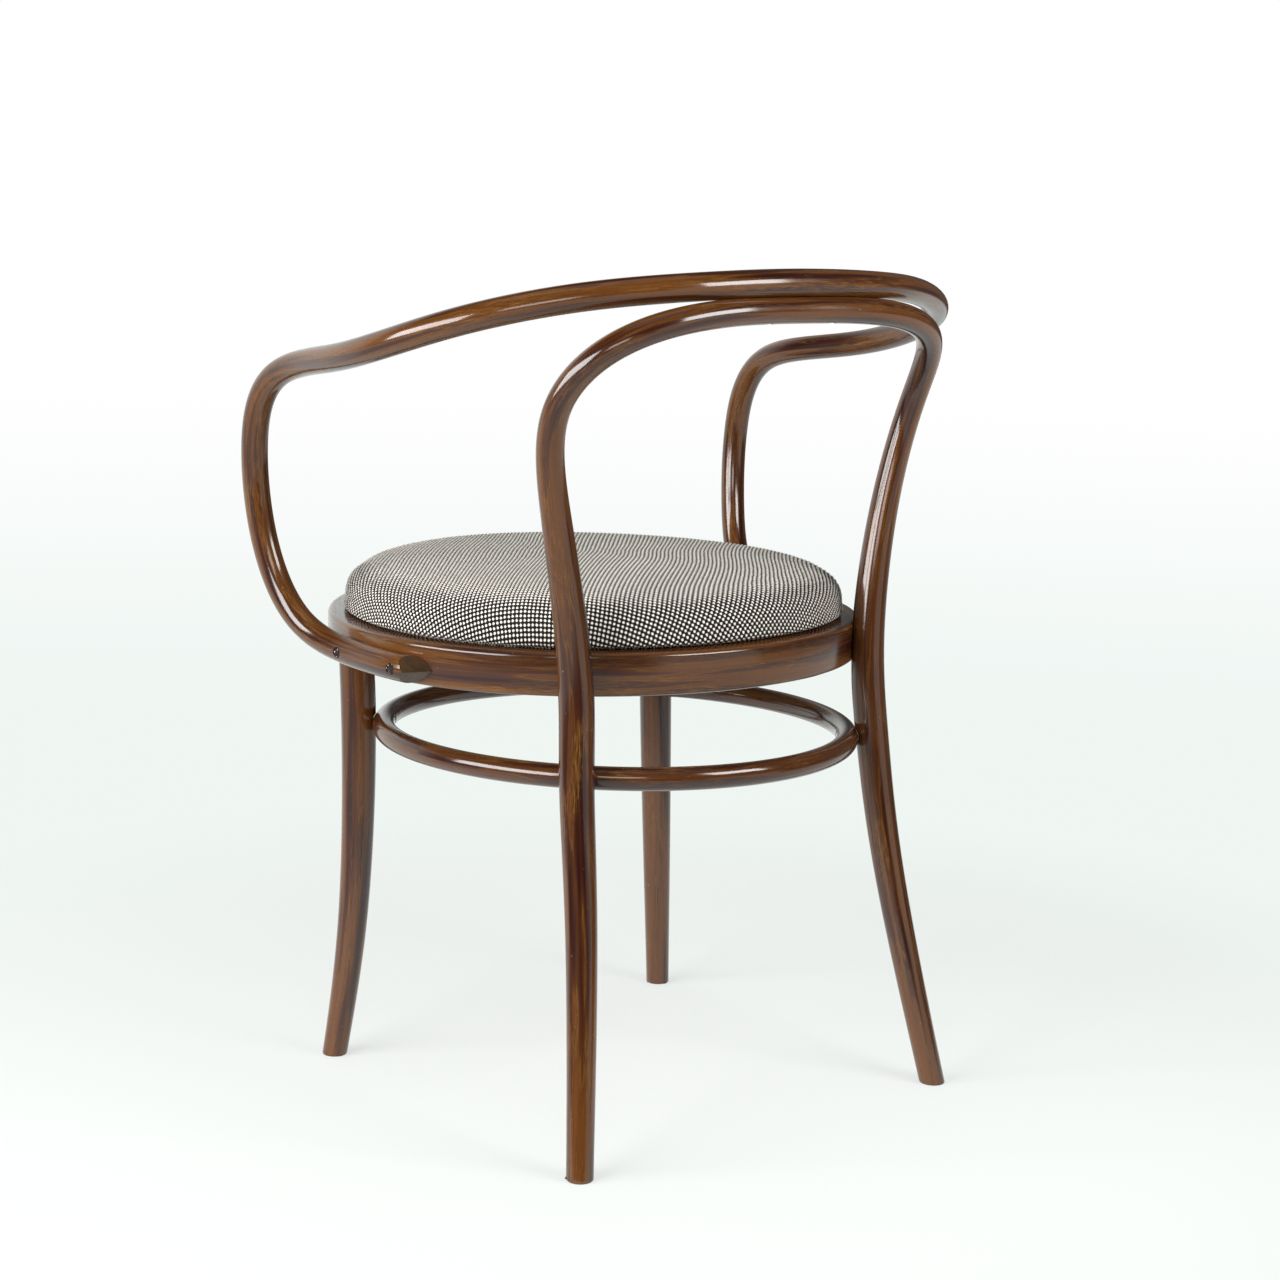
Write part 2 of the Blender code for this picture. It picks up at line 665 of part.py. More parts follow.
# Fastening
def fasten_arms(bow, ring):
    for side, sign in SIDES:
        for number, angle in enumerate(ARM_SCREW_ANGLES, start=1):
            name = f"arm_screw_{side}_{number}"
            spot, normal = ring_point(angle, 2 * BOW_RADIUS - HOUSING_DEPTH)
            out = Vector((normal.x * sign, normal.y, 0.0))
            height = RING_MIDDLE + ARM_END_RISE[number]
            mouth = Vector((spot.x * sign, spot.y, height))
            sunk = ARM_PLUG_LENGTH + CLEARANCE
            frame = driven_frame(mouth - out * (sunk + CLEARANCE), -out)
            add_wood_screw(name, frame, ARM_SCREW_LENGTH, [bow, ring], ARM_PLUG_RADIUS, sunk)
            plug = cylinder_profile(ARM_PLUG_RADIUS, sunk, CLEARANCE)
            made = place(f"arm_plug_{side}_{number}", turned_mesh(plug), PLUG_WOOD)
            made.matrix_world = frame


def fasten_rear_legs(hoop, ring):
    height = (RING_BOTTOM + REBATE_FLOOR) / 2
    for side, sign in SIDES:
        spot, normal = ring_point(REAR_RING_ANGLE, SPOT_FACE_DEPTH - RING_WIDTH)
        out = Vector((normal.x * sign, normal.y, 0.0))
        frame = driven_frame(Vector((spot.x * sign, spot.y, height)), out)
        head = frame @ Matrix.Translation((0.0, 0.0, WASHER_THICKNESS + 2 * CLEARANCE))
        bolt = place("rear_leg_screw_" + side, turned_mesh(leg_screw_profile(), LEG_SCREW_SIDES), STEEL)
        bolt.matrix_world = head
        ring_hole = cylinder_profile(
            LEG_SCREW_RADIUS + CLEARANCE, WASHER_THICKNESS, -LEG_SCREW_LENGTH - CLEARANCE)
        add_hole("rear_leg_screw_hole_" + side, ring_hole, frame, [ring, hoop])
        spot_face = cylinder_profile(WASHER_RADIUS + 2 * CLEARANCE, RING_WIDTH / 2, 0.0)
        add_hole("spot_face_" + side, spot_face, frame, [ring])
        washer = place(
            "rear_leg_washer_" + side,
            turned_mesh(cylinder_profile(WASHER_RADIUS, CLEARANCE + WASHER_THICKNESS, CLEARANCE)), STEEL)
        washer.matrix_world = frame
        add_hole(
            "washer_bore_" + side,
            cylinder_profile(LEG_SCREW_RADIUS + CLEARANCE, 2 * WASHER_THICKNESS, -WASHER_THICKNESS),
            frame, [washer])


def fasten_stretcher(stretcher, hoop, front_legs):
    for side, sign in SIDES:
        for place_name, angle, leg in (
                ("rear", REAR_STRETCHER_ANGLE, hoop), ("front", FRONT_STRETCHER_ANGLE, front_legs[side])):
            spot, normal = stretcher_point(angle, -STRETCHER_RADIUS + SCREW_SLOT_DEPTH)
            out = Vector((normal.x * sign, normal.y, 0.0))
            frame = driven_frame(Vector((spot.x * sign, spot.y, STRETCHER_HEIGHT)), out)
            add_wood_screw(
                f"stretcher_screw_{place_name}_{side}", frame, STRETCHER_SCREW_LENGTH, [stretcher, leg])


def place_on_route(route, x):
    """Place and height of a symmetric route at a distance from its middle."""
    half = route[:len(route) // 2 + 1][::-1]
    return [float(np.interp(x, half[:, 0], half[:, column])) for column in (1, 2)]


def fasten_hoop(hoop, bow):
    for side, sign in SIDES:
        back, height = place_on_route(HOOP_ROUTE, HOOP_SCREW_X)
        head = Vector((HOOP_SCREW_X * sign, back, height - HOOP_RADIUS + SCREW_SLOT_DEPTH))
        frame = driven_frame(head, Vector((0.0, 0.0, 1.0)))
        add_wood_screw("hoop_screw_" + side, frame, HOOP_SCREW_LENGTH, [hoop, bow])


def build_chair():
    ring_room = hide_as_cutter(
        plate_mesh(
            ring_outline(CLEARANCE), RING_BOTTOM - CLEARANCE, RING_TOP + CLEARANCE, RING_EDGE_RADIUS),
        "room_for_ring")
    stretcher_room = hide_as_cutter(
        rod_mesh(STRETCHER_ROUTE, CLEARANCE, cyclic=True), "room_for_stretcher")
    bow_room = hide_as_cutter(rod_mesh(BOW_ROUTE, CLEARANCE), "room_for_bow")
    ring = make_seat_ring()
    stretcher = place("stretcher_ring", rod_mesh(STRETCHER_ROUTE, cyclic=True), BEECH)
    hoop = make_hoop(ring_room, stretcher_room, bow_room)
    bow = make_bow(ring_room)
    front_legs = {side: make_front_leg(side, sign, stretcher_room, ring) for side, sign in SIDES}
    make_seat()
    fasten_arms(bow, ring)
    fasten_rear_legs(hoop, ring)
    fasten_stretcher(stretcher, hoop, front_legs)
    fasten_hoop(hoop, bow)


build_chair()
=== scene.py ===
"""Looks of the bentwood armchair.

Finely rounded rods in a worn dark stain take the place of the faceted ones, and a coarse woven cover
is laid over the drop-in seat. Metres, +Z up, the sitter faces -Y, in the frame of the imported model.
"""

import math

import bpy
import numpy as np
from mathutils import Matrix, Vector
from mathutils.bvhtree import BVHTree
from mathutils.kdtree import KDTree


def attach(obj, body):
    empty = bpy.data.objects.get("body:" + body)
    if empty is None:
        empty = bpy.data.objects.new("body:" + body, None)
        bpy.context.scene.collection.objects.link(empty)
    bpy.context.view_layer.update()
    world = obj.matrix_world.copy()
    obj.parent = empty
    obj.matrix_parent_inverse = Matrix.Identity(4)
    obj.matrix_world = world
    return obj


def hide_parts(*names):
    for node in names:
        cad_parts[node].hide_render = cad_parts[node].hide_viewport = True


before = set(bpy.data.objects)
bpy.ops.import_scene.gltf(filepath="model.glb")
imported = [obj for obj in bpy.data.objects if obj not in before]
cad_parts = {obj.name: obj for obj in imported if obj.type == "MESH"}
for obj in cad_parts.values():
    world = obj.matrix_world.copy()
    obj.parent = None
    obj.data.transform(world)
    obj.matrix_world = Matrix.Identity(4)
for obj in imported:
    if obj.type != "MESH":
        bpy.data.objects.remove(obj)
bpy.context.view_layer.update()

# Fits between the pieces
CLEARANCE = 0.0003
HOUSING_DEPTH = 0.002
HOOP_SEAT_DEPTH = 0.001
CUTTER_OVERRUN = 0.020

# Seat ring
SEAT_MIDDLE_Y = -0.0235
RING_HALF_WIDTH = 0.241
RING_HALF_DEPTH = 0.236
RING_FLARE = 0.078
RING_BOTTOM = 0.380
RING_TOP = 0.416
RING_MIDDLE = (RING_BOTTOM + RING_TOP) / 2
RING_WIDTH = 0.038
RING_EDGE_RADIUS = 0.004
REBATE_INSET = 0.024
REBATE_FLOOR = 0.404

# Stretcher ring
STRETCHER_HALF_WIDTH = 0.205
STRETCHER_HALF_DEPTH = 0.212
STRETCHER_SETBACK = 0.045
STRETCHER_MIDDLE_Y = SEAT_MIDDLE_Y + STRETCHER_SETBACK
STRETCHER_HEIGHT = 0.313
STRETCHER_RADIUS = 0.010

# Rear legs and hoop; a guide point has a bearing round the seat, its distance from the ring and a height
REAR_FOOT_SPLAY = (0.0350, 0.0590)
REAR_KNEE_SPLAY = (0.0085, 0.0210)
REAR_KNEE_HEIGHT = 0.188
REAR_RING_BEARING = 52.0
REAR_STRETCHER_BEARING = 42.7
HOOP_WAIST = (48.2, 0.0217, 0.5260)
HOOP_SHOULDER = (48.0, 0.0429, 0.6170)
HOOP_CORNER = (56.0, 0.0597, 0.6680)
HOOP_SIDE = (69.4, 0.0524, 0.6925)
HOOP_BACK = 0.0345
HOOP_TOP = 0.6975
BACK_BEARING = 90.0
REAR_LEG_RADIUS = 0.0147
WAIST_RADIUS = 0.0124
HOOP_RADIUS = 0.0112
KNEE_RADIUS = 0.0133
FOOT_RADIUS = 0.0113
FOOT_CHAMFER = 0.0015

# Front legs
FRONT_FOOT_SPLAY = (0.0190, -0.0075)
FRONT_KNEE_SPLAY = (0.0065, 0.0015)
FRONT_KNEE_HEIGHT = 0.124
FRONT_RING_BEARING = -32.0
FRONT_RING_INSET = 0.025
FRONT_STRETCHER_BEARING = -40.5
FRONT_LEG_RADIUS = 0.0158

# Arms and back rail
BOW_RADIUS = 0.0115
ARM_TIP_BEARING = 23.2
ARM_SCREW_BEARINGS = (15.0, -2.0)
ARM_END_RISE = (-0.005, -0.0035, -0.001)
ARM_ROUTE = (
    (-15.7, 0.0324, 0.4165),
    (-21.3, 0.0581, 0.4820),
    (-21.0, 0.0658, 0.5840),
    (-16.2, 0.0555, 0.6240),
    (-7.6, 0.0430, 0.6400),
    (6.8, 0.0465, 0.6500),
    (20.4, 0.0597, 0.6650),
    (33.9, 0.0634, 0.6865),
    (51.2, 0.0491, 0.7065),
    (71.4, 0.0422, 0.7165),
)
TIP_SLOPE_ALONG = 0.60
TIP_SLOPE_UP = 0.62
TIP_SLOPE_OUT = 0.50
TIP_BLUNT = 0.004
TIP_BLOCK = 0.060

# Fasteners
PLUG_RADIUS = 0.0045
PLUG_LENGTH = 0.005
PLUG_SINK = 0.0004
SCREW_HEAD_RADIUS = 0.0038
SCREW_SUNK = 0.001
HOOP_SCREW_X = 0.035
WASHER_RADIUS = 0.008
SPOT_FACE_DEPTH = 0.0012

# Drop-in seat
COVER_THICKNESS = 0.0012
COVER_FOLD = 0.016
PAD_RISE = 0.0488
PAD_BULGE = 0.0113
PAD_TUCK = 0.004
PAD_SQUARENESS = 3.6
PAD_GAP = 0.001

# Swelling of the pad; the cover follows it from a little above the ring
PAD_SKIRT = 0.015
PAD_SWELL_LIMIT = 0.002
PAD_VOXEL = 0.005
PAD_PRESSURE = 4.0
PAD_FRAMES = 20
PAD_SMOOTHING = 3
SETTLE_START = 0.004
SETTLE_RANGE = 0.008

# Weave of the cover; it is pulled open where its normal's upright part falls from flat top to steep side
YARN_PITCH = 0.00252
YARN_RELIEF = 0.0005
YARN_WANDER = 0.00018
WANDER_SEED = 7
SIDE_STRETCH = 1.17
FLAT_TOP = 0.95
STEEP_SIDE = 0.84
WEAVE_TURN = math.radians(2.3)
EDGE_SLACK = 0.75

# Fineness of the meshes
SPLINE_STEPS = 40
ROD_SPACING = 0.004
ROD_BEVEL_RESOLUTION = 14
RING_STEPS = 240
RING_EDGE_RESOLUTION = 5
PAD_TURN_STEPS = 180
PAD_TUCK_STEPS = 8
PAD_DOME_STEPS = 48
HOLE_SIDES = 32
CHAMFER_SEGMENTS = 3
FLOOR_SIDES = 128
SHARP_ANGLE = math.radians(38.0)
FLAT_ANGLE = math.radians(0.3)
MERGE = 0.00001

# Grain; each piece starts elsewhere along it, so that no two look alike
BOW_GRAIN = 0.0
HOOP_GRAIN = 10.0
FRONT_LEG_GRAINS = (20.0, 23.0)
STRETCHER_GRAIN = 30.0
RING_GRAIN = 40.0

# Cosines past which a face shows end grain, and past which a rod starts upright
END_GRAIN = 0.45
UPRIGHT_START = 0.8

# Features of the stained wood, with their sizes across, above and along the grain
RUBBED_PATCH = (0.013, 0.013, 0.09)
FIGURE = (0.0085, 0.0085, 0.20)
HAIR = (0.0007, 0.0007, 0.012)
PORE = (0.0004, 0.0004, 0.003)
DING = (0.0017, 0.0017, 0.0029)
SAW_SCAR = (0.003, 0.003, 0.003)

# Features of the other finishes, with their sizes along each axis; those of the cloth are counted in yarns
FILLER_LUMP = (0.0022, 0.0022, 0.0022)
# Pale flecks on the plug filler are painted glints
GLINT_FLECK = (0.0019, 0.0019, 0.0019)
PLY_GRAIN = (0.09, 0.004, 0.0011)
PLY_FIBRE = (0.012, 0.0006, 0.0011)
STEEL_SCRATCH = (0.0004, 0.0022, 0.0004)
TARNISH_SPOT = (0.003, 0.003, 0.003)
YARN_FUZZ = (0.23, 0.23, 1.0)
YARN_DRIFT = (1.0, 14.0, 1.0)

# Worn edges of the ring, as heights from its middle between which the wear fades in or out
TOP_WEAR = (0.006, 0.011)
TOP_WEAR_END = (0.017, 0.0155)
BOTTOM_WEAR = (-0.011, -0.015)

# Painted shade, darker in a band round the stretcher and seat ring, as heights between which it fades in and
# out
SHADE_BELOW = (STRETCHER_HEIGHT - 0.09, STRETCHER_HEIGHT - 0.03)
SHADE_ABOVE = (RING_TOP + 0.14, RING_TOP + 0.03)

# Colours of the finishes
DEEP_STAIN = (0.026, 0.0054, 0.0042)
BROWN_STAIN = (0.124, 0.042, 0.0080)
WORN_STAIN = (0.262, 0.120, 0.027)
SAWN_WOOD = (0.056, 0.040, 0.024)
BARE_WOOD = (0.52, 0.34, 0.16)
DARK_FILLER = (0.006, 0.004, 0.0035)
BROWN_FILLER = (0.034, 0.015, 0.009)
# Pale colour of the painted glints on the plug filler
PAINTED_GLINT = (0.78, 0.74, 0.70)
DARK_PLY = (0.36, 0.22, 0.11)
PALE_PLY = (0.58, 0.41, 0.23)
FIBRE_PLY = (0.26, 0.15, 0.07)
PLAIN_STEEL = (0.44, 0.43, 0.41)
TARNISHED_STEEL = (0.16, 0.105, 0.07)
DARK_YARN = (0.008, 0.006, 0.0065)
PALE_YARN = (0.93, 0.88, 0.79)
GREY_YARN = (0.68, 0.62, 0.55)

# Floor; its fade is given by the square of the distance from the middle
FLOOR_RADIUS = 1.5
FLOOR_COLOUR = (0.82, 0.84, 0.815)
FLOOR_GLOW = 0.6
FLOOR_FADE = (0.1, 0.5 * FLOOR_RADIUS ** 2)

# Background that the camera sees, from the horizon down, with the sines of the rise between which it fades
WHITE_BACKDROP = (1.0, 1.0, 1.0)
LOW_BACKDROP = (0.865, 0.920, 0.890)
LOW_FADE = (-0.06, -0.20)
NEAR_FLOOR = (0.905, 0.930, 0.905)
NEAR_FADE = (-0.27, -0.38)

# Light from round about, from the floor up
FLOOR_BOUNCE = (0.13, 0.135, 0.13)
CEILING_GLOW = (0.54, 0.55, 0.54)
GLOW_FADE = (-0.3, 0.9)

# Room that the lacquer reflects; each pale patch has the cosines or sines between which it fades in
BACKGROUND = (0.945, 0.985, 0.965)
DIM_ROOM = (0.015, 0.015, 0.015)
BACKDROP_BEARING = 272.0
BACKDROP_EDGE = (0.64, 0.88)
WALL_BEARING = 190.0
WALL_EDGE = (0.50, 0.80)
WALL_LEVEL = 0.06
CEILING_EDGE = (0.90, 0.96)
CEILING_LEVEL = 0.35
POOL_BEARING = 110.0
POOL_EDGE = (0.90, 0.96)
POOL_TOP = (0.10, 0.03)
FLOOR_EDGE = (-0.10, -0.20)
FLOOR_LEVEL = 0.74

# Lamps, each at a bearing and a rise in degrees and at a distance from what all of them face
LAMP_TARGET = Vector((0.0, 0.0, 0.45))
LAMPS = {
    "wide_lamp": {"bearing": -2.0, "rise": 16.0, "distance": 2.4, "size": (2.2, 0.95), "power": 74.0},
    "high_lamp": {"bearing": 107.0, "rise": 27.0, "distance": 1.07, "size": (0.50, 0.32), "power": 6.0},
    "rear_lamp": {"bearing": 51.5, "rise": 16.0, "distance": 1.5, "size": (0.50, 0.24), "power": 1.9},
}

# Camera, fitted to the chair
CAMERA_PLACE = Vector((1.4563, 1.8156, 0.7917))
CAMERA_YAW = math.radians(-129.579)
CAMERA_PITCH = math.radians(-9.790)
CAMERA_ROLL = math.radians(1.40)
CAMERA_LENS = 73.67

SIDES = (("left", 1.0), ("right", -1.0))
UP = Vector((0.0, 0.0, 1.0))


# Objects and operators
def pick(piece):
    """Selects one object alone and makes it the active one."""
    bpy.ops.object.select_all(action="DESELECT")
    piece.select_set(True)
    bpy.context.view_layer.objects.active = piece


def edit(piece):
    """Opens an object for editing with all of it selected."""
    pick(piece)
    bpy.ops.object.mode_set(mode="EDIT")
    bpy.ops.mesh.select_all(action="SELECT")


def leave_edit():
    bpy.ops.object.mode_set(mode="OBJECT")


def close_up(piece):
    """Merges the doubles of a mesh and turns its faces outwards."""
    edit(piece)
    bpy.ops.mesh.remove_doubles(threshold=MERGE)
    bpy.ops.mesh.normals_make_consistent(inside=False)
    leave_edit()


def discard(*pieces):
    for piece in pieces:
        bpy.data.objects.remove(piece)


def apply_step(piece, step):
    pick(piece)
    bpy.ops.object.modifier_apply(modifier=step.name)


def cut(piece, tool, operation="DIFFERENCE"):
    step = piece.modifiers.new("cut", "BOOLEAN")
    step.operation = operation
    step.solver = "EXACT"
    step.object = tool
    apply_step(piece, step)


def slice_off(piece, point, normal, chamfer=0.0):
    """Cuts off what lies beyond a plane, closes the cut flat and rounds its edge."""
    edit(piece)
    bpy.ops.mesh.bisect(plane_co=point, plane_no=normal, use_fill=True, clear_outer=True)
    if chamfer:
        bpy.ops.mesh.bevel(offset=chamfer, segments=CHAMFER_SEGMENTS, affect="EDGES")
    leave_edit()


def coat(piece, material):
    piece.data.materials.clear()
    piece.data.materials.append(material)


def dress(piece, material, slot, *nodes):
    """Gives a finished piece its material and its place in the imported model."""
    coat(piece, material)
    pick(piece)
    bpy.ops.object.shade_smooth_by_angle(angle=SHARP_ANGLE)
    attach(piece, "root")
    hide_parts(*nodes)


def coordinates(piece):
    flat = np.empty(len(piece.data.vertices) * 3)
    piece.data.vertices.foreach_get("co", flat)
    return flat.reshape(-1, 3)


def set_coordinates(piece, places):
    piece.data.vertices.foreach_set("co", np.ascontiguousarray(places, dtype=float).ravel())
    piece.data.update()


def corner_vertices(piece):
    """Number of the vertex at each face corner."""
    numbers = np.empty(len(piece.data.loops), dtype=int)
    piece.data.loops.foreach_get("vertex_index", numbers)
    return numbers


# Outlines in plan and routes of the rods
def ring_point(bearing, outset):
    """Point of the seat ring's outer outline, moved out along its normal, and that normal."""
    turn = math.radians(bearing)
    flare = 1 + RING_FLARE * math.sin(turn)
    slope = RING_FLARE * math.cos(turn) ** 2 - math.sin(turn) * flare
    normal = Vector((RING_HALF_DEPTH * math.cos(turn), -RING_HALF_WIDTH * slope)).normalized()
    x = RING_HALF_WIDTH * math.cos(turn) * flare
    y = RING_HALF_DEPTH * math.sin(turn) + SEAT_MIDDLE_Y
    return Vector((x, y)) + outset * normal, normal


def stretcher_point(bearing, outset):
    """Point of the stretcher ring's axis, moved out along its normal, and that normal."""
    turn = math.radians(bearing)
    x = STRETCHER_HALF_WIDTH * math.cos(turn)
    y = STRETCHER_HALF_DEPTH * math.sin(turn) + STRETCHER_MIDDLE_Y
    slope = Vector((STRETCHER_HALF_DEPTH * math.cos(turn), STRETCHER_HALF_WIDTH * math.sin(turn)))
    normal = slope.normalized()
    return Vector((x, y)) + outset * normal, normal


def bearings(steps):
    return [360.0 * step / steps for step in range(steps)]


def ring_outline(outset):
    return [ring_point(bearing, outset)[0] for bearing in bearings(RING_STEPS)]


def round_seat(bearing, outset, height, radius):
    """Guide point of a rod, given by its bearing round the seat and its distance from the ring."""
    return (*ring_point(bearing, outset)[0], height, radius)


def splayed(passing, splay, height, radius):
    """Guide point of a leg, given from where the leg passes the stretcher."""
    return (passing[0] + splay[0], passing[1] + splay[1], height, radius)


def mirrored(half):
    """Whole symmetric route from the half on the left, which ends in the middle."""
    return half + [(-x, y, z, radius) for x, y, z, radius in reversed(half[:-1])]


def below_floor(foot, knee):
    """Carries a leg on past the floor, so that the floor can cut it flat."""
    reach = 2 * FOOT_RADIUS / knee[2]
    place = [foot[axis] - (knee[axis] - foot[axis]) * reach for axis in (0, 1)]
    return (*place, -2 * FOOT_RADIUS, FOOT_RADIUS)


def spline_through(points):
    """Natural cubic spline through rows of x, y, z and radius, read at an even spacing."""
    knots = np.array(points, dtype=float)
    span = np.sqrt(np.linalg.norm(np.diff(knots[:, :3], axis=0), axis=1))
    count = len(knots)
    matrix = np.eye(count)
    right = np.zeros_like(knots)
    for i in range(1, count - 1):
        matrix[i, i - 1:i + 2] = (span[i - 1], 2 * (span[i - 1] + span[i]), span[i])
        right[i] = 6 * ((knots[i + 1] - knots[i]) / span[i] - (knots[i] - knots[i - 1]) / span[i - 1])
    bend = np.linalg.solve(matrix, right)
    fine = []
    for i in range(count - 1):
        for t in np.linspace(0.0, 1.0, SPLINE_STEPS, endpoint=False):
            a, b = (1 - t) * span[i], t * span[i]
            line = knots[i] * (1 - t) + knots[i + 1] * t
            lift = (a ** 3 / span[i] - a * span[i]) * bend[i]
            lift += (b ** 3 / span[i] - b * span[i]) * bend[i + 1]
            fine.append(line + lift / 6)
    fine = np.array(fine + [knots[-1]])
    along = np.concatenate([[0.0], np.cumsum(np.linalg.norm(np.diff(fine[:, :3], axis=0), axis=1))])
    even = np.linspace(0.0, along[-1], round(along[-1] / ROD_SPACING) + 1)
    return np.column_stack([np.interp(even, along, column) for column in fine.T])


def hoop_route():
    at_ring, _ = ring_point(REAR_RING_BEARING, REAR_LEG_RADIUS - HOUSING_DEPTH)
    at_stretcher, _ = stretcher_point(
        REAR_STRETCHER_BEARING, STRETCHER_RADIUS + REAR_LEG_RADIUS - HOUSING_DEPTH)
    foot = splayed(at_stretcher, REAR_FOOT_SPLAY, 0.0, FOOT_RADIUS)
    knee = splayed(at_stretcher, REAR_KNEE_SPLAY, REAR_KNEE_HEIGHT, KNEE_RADIUS)
    return spline_through(mirrored([
        below_floor(foot, knee),
        foot,
        knee,
        (*at_stretcher, STRETCHER_HEIGHT, REAR_LEG_RADIUS),
        (*at_ring, RING_MIDDLE, REAR_LEG_RADIUS),
        round_seat(*HOOP_WAIST, WAIST_RADIUS),
        round_seat(*HOOP_SHOULDER, HOOP_RADIUS),
        round_seat(*HOOP_CORNER, HOOP_RADIUS),
        round_seat(*HOOP_SIDE, HOOP_RADIUS),
        round_seat(BACK_BEARING, HOOP_BACK, HOOP_TOP, HOOP_RADIUS),
    ]))


def front_leg_route(sign):
    at_ring, _ = ring_point(FRONT_RING_BEARING, -FRONT_RING_INSET)
    at_stretcher, _ = stretcher_point(
        FRONT_STRETCHER_BEARING, STRETCHER_RADIUS + FRONT_LEG_RADIUS - HOUSING_DEPTH)
    foot = splayed(at_stretcher, FRONT_FOOT_SPLAY, 0.0, FOOT_RADIUS)
    knee = splayed(at_stretcher, FRONT_KNEE_SPLAY, FRONT_KNEE_HEIGHT, KNEE_RADIUS)
    route = spline_through([
        below_floor(foot, knee),
        foot,
        knee,
        (*at_stretcher, STRETCHER_HEIGHT, FRONT_LEG_RADIUS),
        (*at_ring, RING_BOTTOM - CLEARANCE, FRONT_LEG_RADIUS),
    ])
    return route * np.array([sign, 1.0, 1.0, 1.0])


def bow_route():
    half = []
    for bearing, rise in zip((ARM_TIP_BEARING, *ARM_SCREW_BEARINGS), ARM_END_RISE):
        half.append(round_seat(bearing, BOW_RADIUS - HOUSING_DEPTH, RING_MIDDLE + rise, BOW_RADIUS))
    half += [round_seat(*point, BOW_RADIUS) for point in ARM_ROUTE]
    rail_height = HOOP_TOP + HOOP_RADIUS + BOW_RADIUS - HOOP_SEAT_DEPTH
    half.append(round_seat(BACK_BEARING, HOOP_BACK, rail_height, BOW_RADIUS))
    return spline_through(mirrored(half))


def stretcher_route():
    return np.array([
        (*stretcher_point(bearing, 0.0)[0], STRETCHER_HEIGHT, STRETCHER_RADIUS)
        for bearing in bearings(RING_STEPS)])


def ring_route():
    return np.array([
        (*ring_point(bearing, -RING_WIDTH / 2)[0], RING_MIDDLE, RING_WIDTH / 2)
        for bearing in bearings(RING_STEPS)])


# Solids
def curve_to_mesh(curve, name):
    """Turns a curve object into a closed mesh at the origin."""
    pick(curve)
    bpy.ops.object.convert(target="MESH")
    bpy.ops.object.transform_apply(location=True, rotation=True, scale=True)
    piece = bpy.context.object
    piece.name = name
    close_up(piece)
    return piece


def rod(name, route, grow=0.0, cyclic=False):
    """Round rod along rows of x, y, z and radius, made thicker by grow."""
    bpy.ops.object.select_all(action="DESELECT")
    bpy.ops.curve.primitive_nurbs_path_add()
    curve = bpy.context.object
    data = curve.data
    data.splines.clear()
    data.twist_mode = "Z_UP" if cyclic else "MINIMUM"
    data.bevel_depth = 1.0
    data.bevel_resolution = ROD_BEVEL_RESOLUTION
    data.use_fill_caps = not cyclic
    spline = data.splines.new("POLY")
    spline.points.add(len(route) - 1)
    for point, row in zip(spline.points, route):
        point.co = (*row[:3], 1.0)
        point.radius = row[3] + grow
    spline.use_cyclic_u = cyclic
    return curve_to_mesh(curve, name)


def plate(name, outline, bottom, top, edge_radius=0.0):
    """Flat plate on a closed outline, with its edges rounded."""
    bpy.ops.object.select_all(action="DESELECT")
    bpy.ops.curve.primitive_bezier_circle_add()
    curve = bpy.context.object
    data = curve.data
    data.splines.clear()
    data.dimensions = "2D"
    data.fill_mode = "BOTH"
    data.extrude = (top - bottom) / 2 - edge_radius
    data.bevel_depth = edge_radius
    data.bevel_resolution = RING_EDGE_RESOLUTION
    data.offset = -edge_radius
    spline = data.splines.new("POLY")
    spline.points.add(len(outline) - 1)
    for point, (x, y) in zip(spline.points, outline):
        point.co = (x, y, 0.0, 1.0)
    spline.use_cyclic_u = True
    curve.location.z = (top + bottom) / 2
    return curve_to_mesh(curve, name)


def peg(name, middle, direction, radius, length):
    """Round peg with its middle at a point and its axis along a direction."""
    turn = Vector(direction).to_track_quat("Z", "Y").to_euler()
    bpy.ops.object.select_all(action="DESELECT")
    bpy.ops.mesh.primitive_cylinder_add(
        vertices=HOLE_SIDES, radius=radius, depth=length, location=middle, rotation=turn)
    bpy.ops.object.transform_apply(location=True, rotation=True, scale=True)
    made = bpy.context.object
    made.name = name
    return made


def drill(piece, middle, direction, radius, length):
    bit = peg("bit", middle, direction, radius, length)
    cut(piece, bit)
    discard(bit)


def block_beyond(point, normal):
    """Block that fills the space beyond a plane, near a point on it."""
    turn = Vector(normal).to_track_quat("Z", "Y")
    middle = Vector(point) + turn @ Vector((0.0, 0.0, TIP_BLOCK / 2))
    bpy.ops.object.select_all(action="DESELECT")
    bpy.ops.mesh.primitive_cube_add(size=TIP_BLOCK, location=middle, rotation=turn.to_euler())
    bpy.ops.object.transform_apply(location=True, rotation=True, scale=True)
    return bpy.context.object


# Grain
def path_axes(route, cyclic):
    """Direction, side and up axis along a route, turned no more than the route bends."""
    path = route[:, :3]
    if cyclic:
        step = np.roll(path, -1, axis=0) - np.roll(path, 1, axis=0)
    else:
        step = np.gradient(path, axis=0)
    ahead = step / np.linalg.norm(step, axis=1)[:, None]
    upright = abs(ahead[0][2]) > UPRIGHT_START
    side = np.cross(ahead[0], (1.0, 0.0, 0.0) if upright else (0.0, 0.0, 1.0))
    sides = []
    for direction in ahead:
        side = side - direction * side.dot(direction)
        side /= np.linalg.norm(side)
        sides.append(side)
    sides = np.array(sides)
    return ahead, sides, np.cross(sides, ahead)


